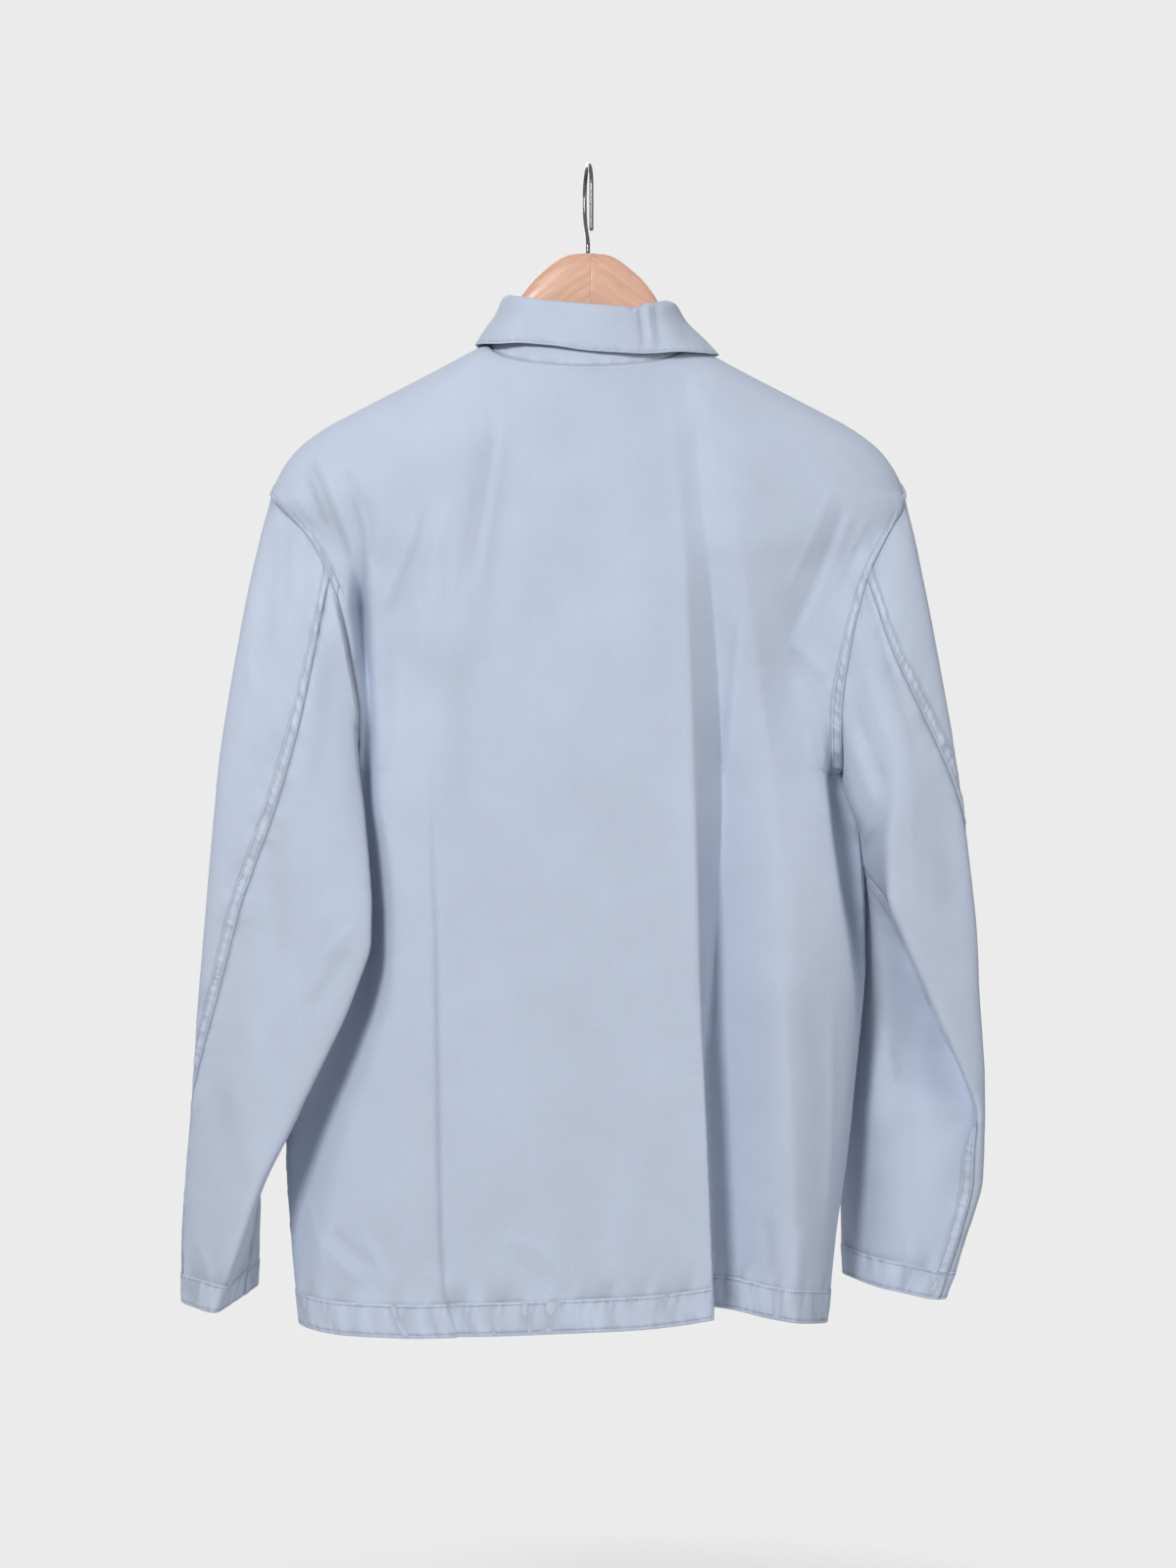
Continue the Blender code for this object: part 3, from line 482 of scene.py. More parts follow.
def top_line(x, side):
    """Height and depth of a panel's top edge at x: shoulder seam, then neck seam."""
    drop = NECK_BACK_DROP if side < 0 else NECK_FRONT_DROP
    reach = NECK_BACK if side < 0 else NECK_FRONT
    inside = np.abs(x) < NECK_HALF
    z = np.where(inside, NECK_Z - drop * neck_arc(x), read(SHOULDER, "x", "z", np.abs(x)))
    return z, np.where(inside, side * reach * neck_arc(x), 0.0)


def fold_depth(x, z, side):
    """How far the soft folds move the panel out."""
    out = np.zeros_like(x)
    for f in rows_of(FOLDS):
        if f["side"] != side:
            continue
        t = (z - f["top_z"]) / (f["foot_z"] - f["top_z"])
        across = (x - f["top_x"] - (f["foot_x"] - f["top_x"]) * t) / f["width"]
        length = f["top_z"] - f["foot_z"]
        shown = ease(0, 60, f["top_z"] - z) * ease(0, min(70, length / 3), z - f["foot_z"])
        out += shown * f["height"] * np.exp(-across ** 2)
    return out


def pleat_depth(x, z, table):
    """How far a pleat sets the cloth back beyond its crest."""
    past = x - read(table, "z", "x", z)
    wall = read(table, "z", "wall", z)
    reach = read(table, "z", "reach", z)
    fall = np.clip(past / wall, 0, 1)
    floor = (1 - np.clip((past - wall) / (reach - wall), 0, 1)) ** 1.3
    roll = 0.05 * np.exp(-(past / 12) ** 2)
    return read(table, "z", "depth", z) * (fall * floor - roll)


def body_y(x, z, side):
    """Depth of a body panel at (x, z); side is -1 behind, 1 in front."""
    left = read(BODY, "z", "left", z)
    right = read(BODY, "z", "right", z)
    share = np.clip(np.where(x < 0, -x / left, x / right), 0, 1)
    power = np.where(
        x < 0, read(BODY, "z", "square_left", z), read(BODY, "z", "square_right", z)
    )
    armhole = ease(ARMPIT_Z - 20, ARMPIT_Z + 90, z) * ease(SHOULDER_Z + 5, SHOULDER_Z - 65, z)
    root = 1 + (power - 1) * (1 - armhole)
    round_off = np.clip(1 - share ** power, 0, 1) ** (1 / root)
    depth = read(BODY, "z", "back" if side < 0 else "front", z)
    middle = (ARMPIT_Z + SHOULDER_Z) / 2
    up = (z - middle) / (SHOULDER_Z - middle)
    edge = ARMHOLE_DEPTH * np.sqrt(np.clip(1 - up ** 2, 0, 1))
    swell = depth * round_off - edge * (1 - (1 - round_off) ** EDGE_REACH)
    top_z, top_y = top_line(x, side)
    fall = np.clip((top_z - z) / ROLL, 0, 1)
    roll = np.sqrt(np.clip(1 - (1 - fall) ** 2, 0, 1))
    if side < 0:
        for table, away in ((TUCK_RIGHT, x), (TUCK_LEFT, -x)):
            beyond = (away - read(table, "z", "x", z)) / read(table, "z", "width", z)
            swell = swell * (1 - read(table, "z", "share", z) * ease(0, 1, beyond))
    y = side * (edge + swell * roll) + top_y * (1 - roll)
    clear = ease(0, 0.07, 1 - share) * ease(2, 30, top_z - z)
    out = fold_depth(x, z, side)
    if side < 0:
        for table in (PLEAT_DEEP, PLEAT_SHALLOW):
            out = out - pleat_depth(x, z, table)
    y = y + side * out * clear
    lift = ease(-LAP - 20 - LAP_RAMP, -LAP - 20, x)
    return y, lift if side > 0 else np.zeros_like(y)


HEM_FINE = 36.0        # height above the hem with closer rows
ROWS_HEM, ROWS_BODY, ROWS_CHEST = 15, 118, 74
EDGE_STEPS = (0.0, 0.7, 1.5, 2.5, 3.6, 4.8, 6.0, 7.2, 8.2, 9.0, 10.0, 11.5, 13.5)


def spread_columns(length, count, ends=(True, True)):
    """Places along a row, close together beside the seams at its ends."""
    first, last = (np.array(EDGE_STEPS if seamed else EDGE_STEPS[:1]) for seamed in ends)
    last = length - last[::-1]
    inner = np.linspace(first[-1], last[0], count - len(first) - len(last) + 2)
    return np.concatenate([first, inner[1:-1], last])


def body_grid(side, start, end, rises, count):
    """Fine grid of a body panel, hem first, columns even along the cloth."""
    whole = start * end < 0 and min(abs(start), abs(end)) > LAP
    even = start + (end - start) * np.linspace(0, 1, 801 if whole else 501)
    neck = NECK_HALF * np.sin(np.linspace(-np.pi / 2, np.pi / 2, 281))
    neck = neck[(neck > min(start, end)) & (neck < max(start, end))]
    stations = np.unique(np.round(np.concatenate([even, neck]), 4))
    if start > end:
        stations = stations[::-1]
    high = (stations - stations[0]) / (stations[-1] - stations[0])
    if whole:
        bunched = 0.5 - 0.5 * np.cos(np.pi * high)
    elif abs(start) > LAP:
        bunched = 1 - np.cos(np.pi * high / 2)
    else:
        bunched = np.sin(np.pi * high / 2)
    low = 0.1 * high + 0.9 * bunched
    top_z, _ = top_line(stations, side)
    drop = NECK_BACK_DROP if side < 0 else NECK_FRONT_DROP
    within = np.clip(1 - (stations / NECK_HALF) ** 2, 0, 1)
    level = np.where(within > 0, NECK_Z - drop * within, top_z)
    hem = np.linspace(HEM_Z, HEM_Z + HEM_FINE, ROWS_HEM)
    middle = np.linspace(HEM_Z + HEM_FINE, ARMPIT_Z, ROWS_BODY)[1:]
    heights = [np.full(len(stations), z) for z in np.concatenate([hem, middle])]
    for w in 1 - (1 - np.linspace(0, 1, ROWS_CHEST)[1:]) ** 1.15:
        z = level + (top_z - level) * w ** 4
        heights.append(ARMPIT_Z + (z - ARMPIT_Z) * w)
    rows = []
    for z in heights:
        left, right = -read(BODY, "z", "left", z), read(BODY, "z", "right", z)
        ends = {-SHOULDER_X: left, SHOULDER_X: right, LAP: LAP, -LAP: -LAP}
        share = low + (high - low) * ease(HEM_Z, SHOULDER_Z, z)
        x = ends[start] + (ends[end] - ends[start]) * share
        y, lift = body_y(x, z, side)
        line = np.stack([x, y + rises * lift * LAP_RISE, z], axis=-1)
        seamed = (abs(start) > LAP, abs(end) > LAP)
        line = walk(line, spread_columns(arc_length(line)[-1], count, seamed))
        y, lift = body_y(line[:, 0], line[:, 2], side)
        line[1:-1, 1] = (y + rises * lift * LAP_RISE)[1:-1]
        rows.append(line)
    return np.array(rows)


# ---- sleeves ---------------------------------------------------------------------------
# plan corners of a ring, in order: outer, near, under a fold, inner, round the back, far
CORNERS = "onuiwf"
RING_POINTS = 384
ARMHOLE_POINTS = 80


def ring(corners, soft):
    """Closed ring through plan corners, evenly sampled, corners rounded."""
    count = RING_POINTS
    corners = np.array(corners, float)
    ahead = np.roll(corners, -1, axis=0) - corners
    size = np.linalg.norm(ahead, axis=1, keepdims=True)
    reach = np.minimum(soft * size.sum() / 8, np.minimum(size, np.roll(size, 1, axis=0)) / 5)
    pull = ahead / size - np.roll(ahead / size, 1, axis=0)
    corners = corners - reach * pull
    loop = np.vstack([corners, corners[:1]])
    at = arc_length(loop)
    even = np.arange(count) / count * at[-1]
    points = between(even, at, loop)
    width = int(soft * count / 2)
    kernel = np.ones(2 * width + 1) / (2 * width + 1)
    around = np.vstack([points[-2 * width:], points, points[:2 * width]])
    for _ in range(2):
        around = np.stack([np.convolve(around[:, k], kernel, "same") for k in range(2)], -1)
    return around[2 * width:2 * width + count]


def sleeve_point(table, t, share):
    """Point of a sleeve (outward x, y, z): t from armhole to cuff, share round the ring."""
    rows = np.linspace(0, 1, len(table["z_out"]))
    now = {name: float(smooth(rows, values, t)) for name, values in table.items()}
    outer = np.array([now["ox"], now["oy"]])
    inner = np.array([now["ix"], now["iy"]])
    corners = [(now[c + "x"], now[c + "y"]) for c in CORNERS if c + "x" in now]
    loop = ring(corners, now["soft"])
    first = int(np.argmin(np.linalg.norm(loop - outer, axis=1)))
    loop = np.roll(loop, -first, axis=0)
    loop = np.vstack([loop, loop[:1]])
    plan = between(np.mod(share, 1.0) * (len(loop) - 1), np.arange(len(loop)), loop)
    chord = outer - inner
    lean = np.clip((plan - inner) @ chord / (chord @ chord), -0.1, 1.1)
    z = now["z_in"] + (now["z_out"] - now["z_in"]) * lean
    return np.concatenate([plan, z[:, None]], axis=1), now


def armhole_line(grid, column, z_from, z_to):
    """Points of a body panel's armhole edge between two heights."""
    edge = grid[:, column][grid[:, column, 2] >= ARMPIT_Z - 0.01]
    return between(np.linspace(z_from, z_to, ARMHOLE_POINTS), edge[:, 2], edge)


def sleeve_grid(table, seam, under, rows_down, count):
    """Fine grid of one sleeve piece from the armhole to the cuff."""
    seam = walk(seam, spread_columns(arc_length(seam)[-1], count))
    first = arc_length(seam) / arc_length(seam)[-1]
    lengths = np.linspace(0, 1, rows_down + 1)[1:] ** 1.1
    rows = [seam]
    for t in lengths:
        _, now = sleeve_point(table, t, np.zeros(1))
        a, b = now["back_seam"], now["front_seam"]
        if not under:
            a, b = b, a + 1
        free = 1 - np.clip(1 - t / SLEEVE_FREE, 0, 1) ** 2
        whole, _ = sleeve_point(table, t, a + (b - a) * np.linspace(0, 1, 97))
        length = arc_length(whole)[-1]
        even = spread_columns(length, count) / length
        share = a + (b - a) * (first + (even - first) * free)
        points, _ = sleeve_point(table, t, share)
        rows.append(seam + (points - seam) * free)
    grid = np.array(rows)
    for _ in range(2):
        grid[1:-1] = (grid[:-2] + 2 * grid[1:-1] + grid[2:]) / 4
    return grid


# ---- collar ----------------------------------------------------------------------------
def collar_rings(neck):
    """Rows of the stand and of the leaf over the neck seam's points."""
    angle = np.arctan2(neck[:, 0] / NECK_HALF, -neck[:, 1] / NECK_BACK)
    behind = neck[:, 1] <= 0
    reach = np.where(behind, STAND_TOP_BACK / NECK_BACK, STAND_TOP_FRONT / NECK_FRONT)
    drop = np.where(behind, STAND_TOP_BACK_DROP, STAND_TOP_FRONT_DROP)
    bend = np.where(behind, 1.0, 1.5)
    arc = neck_arc(neck[:, 0])
    top = np.stack([
        neck[:, 0] * STAND_TOP_HALF / NECK_HALF,
        neck[:, 1] * reach,
        STAND_TOP_Z - drop * arc ** bend,
    ], axis=-1)
    lean = np.where(behind, 1.0, np.clip(1 - neck[:, 1] / NECK_FRONT, 0, 1) ** 2)
    top[:, 2] += lean * read(COLLAR_RISE, "x", "rise", top[:, 0])
    out = np.stack([top[:, 0] / STAND_TOP_HALF ** 2, top[:, 1] / STAND_TOP_BACK ** 2], -1)
    out = out / np.linalg.norm(out, axis=1, keepdims=True)
    middle = (neck + top) / 2
    middle[:, :2] -= out * 1.5
    degrees = np.degrees(angle)
    fall = read(LEAF, "angle", "drop", degrees)
    spread = read(LEAF, "angle", "spread", degrees)
    leaf = []
    for step in rows_of(ROLL_OVER):
        r = step["spread"] * spread + step["out"]
        h = step["up"] - step["drop"] * fall
        leaf.append(np.column_stack([top[:, :2] + out * r[:, None], top[:, 2] + h]))
    return np.array([neck, middle, top]), np.array(leaf)


def finer_rows(rows, count):
    """Smooth extra rows between the given ones."""
    return smooth_rows(np.arange(len(rows)), rows, np.linspace(0, len(rows) - 1, count))


# ---- cloth surfaces --------------------------------------------------------------------
PLY = 0.7              # thickness of a panel as drawn
BAND_PLY = 0.5         # thickness of the folded ply laid over a seam or a hem
EDGE_ROW = 2.2         # stitches from the edges of the collar leaf and the fronts
BAND_ROWS = {"felled": (1.5, 7.6), "hem": (3.0, 23.4), "cuff": (2.6, 20.6)}
BAND_ACROSS = {        # where a band is sampled across its width; it ends at the last one
    "felled": (0.2, 0.8, 1.5, 2.4, 3.6, 4.9, 6.1, 7.0, 7.6, 8.3, 9.0),
    "hem": (0.2, 1.6, 3.0, 4.6, 7.5, 11.0, 14.5, 18.0, 20.6, 22.3, 23.4, 24.5, 25.6),
    "cuff": (0.2, 1.4, 2.6, 4.0, 6.5, 9.5, 12.5, 15.5, 18.0, 19.6, 20.6, 21.6, 22.6),
}


def unit(vectors):
    """Vectors along the last axis at length one."""
    return vectors / np.maximum(np.linalg.norm(vectors, axis=-1, keepdims=True), 1e-9)


def grid_normals(grid):
    """Unit normals of a grid of points."""
    return unit(np.cross(np.gradient(grid, axis=1), np.gradient(grid, axis=0)))


def faced(grid, outward):
    """The grid's normals, turned so that they point along outward on the whole."""
    normal = grid_normals(grid)
    return -normal if (normal * outward).sum() < 0 else normal


def distances(grid):
    """Distance of each point from the grid's first and last column, foot and top row."""
    across = np.linalg.norm(np.diff(grid, axis=1), axis=2)
    up = np.linalg.norm(np.diff(grid, axis=0), axis=2)
    first = np.concatenate([np.zeros((len(grid), 1)), np.cumsum(across, axis=1)], axis=1)
    foot = np.concatenate([np.zeros((1, grid.shape[1])), np.cumsum(up, axis=0)], axis=0)
    return {"first": first, "last": first[:, -1:] - first, "foot": foot, "top": foot[-1:] - foot}


def edge_place(grid, edge):
    """Distance along an edge, shaped to be added to the grid."""
    line = {"first": grid[:, 0], "last": grid[:, -1], "foot": grid[0], "top": grid[-1]}[edge]
    along = arc_length(line)
    return along[:, None] if edge in ("first", "last") else along[None, :]


def row_dip(d, place, wide):
    """A narrow bell round one distance from an edge."""
    return np.exp(-((d - place) / wide) ** 2)


def drawn_in(d, s, seed, deep):
    """Cloth of a panel puckered beside a seam."""
    far = ease(0, 2.4, d) * np.exp(-(d / deep) ** 2)
    return (0.42 * wander(s - 0.3 * d, 6.5, seed) + 0.35 * wander(s + 0.2 * d, 12, seed + 1)) * far


def crack(d):
    """Narrow groove where two panels meet, 1 at its deepest."""
    return (d / 0.9) * np.exp(1 - d / 0.9)


def relief(grid, edges):
    """Height and colour of a panel's seams: puckers with painted shade in their dips, in the seam
    cracks and in the stitch grooves, and paler edges that are partly rubbing and partly painted
    highlight; edges: (edge, kind, seed, from_z, to_z).
    """
    far = distances(grid)
    out = np.zeros(grid.shape[:2])
    wear = np.zeros(grid.shape[:2])
    for edge, kind, seed, low, high in edges:
        d = far[edge]
        s = edge_place(grid, edge)
        z = grid[:, :, 2]
        shown = ease(low - 4, low, z) * (1 - ease(high, high + 4, z))
        if kind == "felled":
            height = drawn_in(d, s, seed, 17.0)
            # colour: pucker dips painted darker, their ridges paler, and a painted shadow line
            # just past the felled band's edge
            tone = 0.5 * height - 0.5 * row_dip(d, 9.6, 1.1)
        elif kind == "plain":
            height = 0.7 * drawn_in(d, s, seed, 12.0) - 0.8 * crack(d)
            # colour: pucker dips painted darker and painted shade in the crack where the two
            # panels meet
            tone = 0.5 * height - 0.8 * np.exp(-(d / 1.3) ** 2)
        elif kind in ("hem", "cuff"):
            deep = BAND_ACROSS[kind][-1]
            height = drawn_in(np.abs(d - deep) + 2.0, s, seed, 14.0)
            # colour: pucker dips painted darker and a painted shadow line just past the hem band's
            # edge
            tone = 0.7 * height - 0.4 * row_dip(d, deep + 0.6, 1.3)
        else:
            height = -0.45 * row_dip(d, EDGE_ROW, 0.9)
            height = height + 0.26 * wander(s, 2.4, seed) * row_dip(d, EDGE_ROW, 2.4)
            # colour: painted shade in the stitch groove; the edge paler, partly rubbing and partly
            # painted highlight
            tone = 0.55 * height + 0.5 * row_dip(d, 0.0, 0.9)
        out += height * shown
        wear += tone * shown
    return out, wear


def band_form(kind, d, s, seed, pitch):
    """Height and colour of the folded ply over a seam or hem, puckered by its stitches; the colour
    has painted shade in pucker dips and stitch holes and paler band edges, partly rubbing and
    partly painted highlight.
    """
    rows = BAND_ROWS[kind]
    deep = BAND_ACROSS[kind][-1]
    lift = (PLY + BAND_PLY) / 2 + 0.02
    if kind == "felled":
        rungs = wander(s - 0.2 * d, 2.6, seed)
        swell = wander(s + 0.1 * d, 7.5, seed + 1)
        within = np.exp(-((d - 4.5) / 3.6) ** 4)
        pucker = (0.48 * rungs + 0.34 * swell) * within
    else:
        lift -= 0.12
        upper = np.exp(-((d - rows[1]) / 8.0) ** 2)
        lower = np.exp(-((d - rows[0]) / 5.0) ** 2)
        inside = np.exp(-((d - deep / 2) / (0.45 * deep)) ** 4)
        long = wander(s + 0.15 * d, 9.0, seed + 1) * inside
        pucker = (
            0.42 * wander(s - 0.2 * d, 3.0, seed) * upper
            + 0.34 * wander(s + 0.3 * d, 3.4, seed + 2) * lower + 0.5 * long
        )
    stitch = 0.5 + 0.5 * np.cos(2 * np.pi * s / pitch)
    holes = sum(row_dip(d, place, 0.7) for place in rows) * (0.35 + 0.65 * stitch)
    edge = row_dip(d, deep, 0.7) + row_dip(d, 0.0, 0.7)
    height = lift + pucker - 0.30 * holes - 0.10 * edge
    # colour: pucker dips and stitch holes painted darker, the band's edges paler, partly rubbing
    # and partly painted highlight
    return height, 0.9 * pucker - 1.0 * holes + 0.55 * edge


def across_edge(grid, normal, edge, places):
    """Points and normals at given distances from an edge, all along it."""
    far = distances(grid)[edge]
    both = np.concatenate([grid, normal], axis=2)
    if edge in ("foot", "top"):
        far, both = far.T, both.transpose(1, 0, 2)
    found = []
    for d, line in zip(far, both):
        order = np.argsort(d)
        found.append(between(places, d[order], line[order]))
    return np.array(found)


def seam_band(grid, normal, edge, kind, seed, low, high, pitch):
    """Fine strip over a panel's edge: points, normals, colour of rubbing and painted shade and
    highlight, places and row lines.
    """
    across = BAND_ACROSS[kind]
    stations = across_edge(grid, normal, edge, across)
    z = stations[:, len(across) // 2, 2]
    stations = stations[(z > low) & (z < high)]
    along = arc_length(stations[:, 0, :3])
    place = np.linspace(0, along[-1], int(along[-1] / pitch * 2) + 1)
    fine = smooth_rows(along, stations, place)
    points, out = fine[:, :, :3], unit(fine[:, :, 3:])
    d, s = np.meshgrid(np.array(across), place)
    height, wear = band_form(kind, d, s, seed, pitch)
    points = points + out * height[:, :, None]
    at_rows = [across.index(row) for row in BAND_ROWS[kind]]
    lines = [(points[:, k], out[:, k]) for k in at_rows]
    return points, out, wear, np.stack([d, s], axis=-1) / 1000, lines


def mesh_piece(name, points, faces, look, uvs=None, wear=None):
    """New mesh object from points in mm; uvs in metres and a colour value of rubbing and painted
    shade and highlight, one for each point.
    """
    mesh = bpy.data.meshes.new(name)
    points = np.asarray(points, float) / 1000
    faces = np.asarray(faces)
    mesh.vertices.add(len(points))
    mesh.vertices.foreach_set("co", points.ravel())
    sides = faces.shape[1]
    mesh.loops.add(faces.size)
    mesh.polygons.add(len(faces))
    mesh.loops.foreach_set("vertex_index", faces.ravel().astype(np.int32))
    mesh.polygons.foreach_set("loop_start", np.arange(0, faces.size, sides, dtype=np.int32))
    mesh.polygons.foreach_set("loop_total", np.full(len(faces), sides, dtype=np.int32))
    mesh.polygons.foreach_set("use_smooth", np.ones(len(faces), dtype=bool))
    if uvs is not None:
        layer = mesh.uv_layers.new(name="cloth")
        layer.data.foreach_set("uv", np.asarray(uvs)[faces.ravel()].ravel())
    if wear is not None:
        layer = mesh.attributes.new("wear", "FLOAT", "POINT")
        layer.data.foreach_set("value", np.asarray(wear, np.float32).ravel())
    mesh.update(calc_edges=True)
    mesh.materials.append(look)
    made = bpy.data.objects.new(name, mesh)
    bpy.context.scene.collection.objects.link(made)
    return made


def ring_faces(count, around):
    """Four-sided faces between closed rings of points."""
    j, i = (v.ravel() for v in np.mgrid[:count - 1, :around])
    k = (i + 1) % around
    a, b = j * around, (j + 1) * around
    return np.stack([a + i, a + k, b + k, b + i], axis=-1)


def grid_faces(rows, cols, flip):
    """Four-sided faces of a grid of points."""
    a = (np.arange(rows - 1)[:, None] * cols + np.arange(cols - 1)[None, :]).ravel()
    quads = np.stack([a, a + 1, a + cols + 1, a + cols], axis=-1)
    return quads[:, ::-1] if flip else quads


def thicken(piece, thickness):
    """Give a sheet its thickness, half to each side."""
    ply = piece.modifiers.new("ply", "SOLIDIFY")
    ply.thickness = thickness
    ply.offset = 0.0
    ply.use_even_offset = False
    ply.use_rim = True


def cloth_piece(name, grid, normal, look, wear=None):
    """Cloth panel with real thickness over a grid of points."""
    rows, cols, _ = grid.shape
    far = distances(grid)
    middle = cols // 2
    u = far["first"] - far["first"][:, middle:middle + 1]
    v = np.repeat(far["foot"][:, middle:middle + 1], cols, axis=1)
    uvs = np.stack([u, v], axis=-1).reshape(-1, 2) / 1000
    flip = (grid_normals(grid) * normal).sum() < 0
    faces = grid_faces(rows, cols, flip)
    made = mesh_piece(name, grid.reshape(-1, 3), faces, look, uvs, wear)
    thicken(made, bpy.context.scene.shirt_cloth.thickness)
    return made


def band_pieces(name, edges, look, thread, pitch):
    """One joined piece of folded plies over a panel's seams; its stitches go to thread."""
    grid, normal = shapes()[name]
    points, faces, uvs, wear_and_shading_parts, count = [], [], [], [], 0
    for edge, kind, seed, low, high in edges:
        strip, out, wear, places, lines = seam_band(
            grid, normal, edge, kind, seed, low, high, pitch
        )
        rows, cols, _ = strip.shape
        flip = (grid_normals(strip) * out).sum() < 0
        points.append(strip.reshape(-1, 3))
        faces.append(grid_faces(rows, cols, flip) + count)
        uvs.append(places.reshape(-1, 2))
        wear_and_shading_parts.append(wear.ravel())
        count += rows * cols
        for line, up in lines:
            thread.sew(line, up, pitch)
    made = mesh_piece(
        name + "_bands", np.vstack(points), np.vstack(faces), look, np.vstack(uvs),
        np.concatenate(wear_and_shading_parts),
    )
    thicken(made, BAND_PLY / 1000)
    return made


PLY_HALF = 0.30        # lifts a stitch onto the face of its ply
STITCH_SHARE = 0.72    # a stitch's length as a share of its pitch
STITCH_SIDES = 4
STITCH_PROFILE = columns(
    "place fat lift", (-0.5, 0.3, -0.24), (-0.2, 1.0, 0.06), (0.2, 1.0, 0.06), (0.5, 0.3, -0.24)
)


def stitch_run(line, normal, pitch, length, radius):
    """Points and faces of one row of stitches, in mm, each a small plump thread."""
    along = arc_length(line)
    count = int(along[-1] / pitch)
    if count < 1:
        return np.zeros((0, 3)), np.zeros((0, 4), int)
    centre = (np.arange(count) + 0.5) * along[-1] / count
    spot = between(centre, along, line)
    ahead = unit(between(centre + 0.4, along, line) - between(centre - 0.4, along, line))
    side = unit(np.cross(between(centre, along, normal), ahead))
    up = np.cross(ahead, side)
    points = []
    for step in rows_of(STITCH_PROFILE):
        r = radius * step["fat"]
        for turn in np.arange(STITCH_SIDES) * 2 * np.pi / STITCH_SIDES:
            rise = np.sin(turn) * r * 0.8 + step["lift"] + PLY_HALF
            points.append(
                spot + ahead * step["place"] * length + side * np.cos(turn) * r + up * rise
            )
    points = np.stack(points, axis=1)
    size = points.shape[1]
    last = size - STITCH_SIDES
    caps = [(3, 2, 1, 0), (last, last + 1, last + 2, last + 3)]
    faces = np.vstack([ring_faces(size // STITCH_SIDES, STITCH_SIDES), caps])
    whole = (faces[None] + (np.arange(count) * size)[:, None, None]).reshape(-1, 4)
    return points.reshape(-1, 3), whole


class Thread:
    """Collects rows of stitches for one joined piece."""

    def __init__(self):
        self.points = []
        self.faces = []
        self.count = 0

    def run(self, line, normal, pitch, length, radius=0.30):
        """A row of stitches along a line."""
        points, faces = stitch_run(line, normal, pitch, length, radius)
        self.points.append(points)
        self.faces.append(faces + self.count)
        self.count += len(points)

    def sew(self, line, normal, pitch):
        """A row of machine stitches."""
        self.run(line, normal, pitch, pitch * STITCH_SHARE)

    def bar(self, start, end, length, radius):
        """One straight thread, facing +Z."""
        line = np.array([start, end])
        pitch = 0.99 * np.linalg.norm(line[1] - line[0])
        self.run(line, np.tile([0.0, 0.0, 1.0], (2, 1)), pitch, length, radius)

    def piece(self, name, look):
        return mesh_piece(name, np.vstack(self.points), np.vstack(self.faces), look)


# ---- settings --------------------------------------------------------------------------
def colour(name, about, default):
    """A colour to choose in the panel."""
    return FloatVectorProperty(
        name=name, description=about, default=default, subtype="COLOR", size=3, min=0.0, max=1.0
    )


def length(name, about, default, low, high):
    """A length in metres to choose in the panel."""
    return FloatProperty(
        name=name, description=about, default=default, min=low, max=high, precision=5,
        unit="LENGTH",
    )


def share(name, about):
    """A factor to choose in the panel, 1 as drawn."""
    return FloatProperty(name=name, description=about, default=1.0, min=0.0, max=2.0)


def power(name, about, default):
    """A lamp's power in watts to choose in the panel."""
    return FloatProperty(name=name, description=about, default=default, min=0.0, unit="POWER")


class ShirtCloth(bpy.types.PropertyGroup):
    """Cloth, thread and creases."""

    thickness: length("Thickness", "Thickness of the cloth as drawn", 0.0007, 0.0003, 0.002)
    crease: share("Crease depth", "Share of the named creases' depth")
    pucker: share("Seam puckers", "Share of the puckers along seams and hems")
    colour: colour("Cloth colour", "Mid colour of the washed poplin", (0.460, 0.523, 0.640))
    # darker than the cloth: the thread's colour with painted shade of stitches sunk into the cloth
    thread: colour("Thread colour", "Colour of the sewing thread", (0.36, 0.42, 0.53))
    weave: length(
        "Thread pitch", "Distance between the yarns of the weave", 0.0005, 0.0002, 0.002
    )
    stitch: length(
        "Stitch length", "Distance from one stitch to the next", 0.0027, 0.001, 0.006
    )


class ShirtTrim(bpy.types.PropertyGroup):
    """Buttons, hanger and hook."""

    button_colour: colour(
        "Button colour", "Colour of the four-hole buttons", (0.50, 0.56, 0.66)
    )
    wood_light: colour("Wood, light", "Light bands of the beech", (0.675, 0.395, 0.275))
    wood_dark: colour("Wood, dark", "Dark bands of the beech", (0.55, 0.30, 0.20))
    steel: colour("Steel", "Colour of the hook's wire", (0.13, 0.13, 0.14))
    wire_sides: IntProperty(
        name="Wire sides", description="Sides of the hook's round wire", default=32, min=12, max=64
    )


class ShirtStage(bpy.types.PropertyGroup):
    """Backdrop, floor and light."""

    backdrop: colour(
        "Backdrop", "Colour of the floor and the wall behind", (0.832, 0.832, 0.832)
    )
    key: power("Key light", "Power of the large soft light", 68.0)
    fill: power("Fill light", "Power of the second soft light", 15.0)
    rear: power("Rear light", "Power of the soft light on the shirt's front", 36.0)
    sky: FloatProperty(
        name="Room light", description="Strength of the even light from all sides",
        default=0.33, min=0.0,
    )


# ---- materials -------------------------------------------------------------------------
def tint(shade, by):
    """A colour made darker or paler."""
    return tuple(min(1.0, c * by) for c in shade)


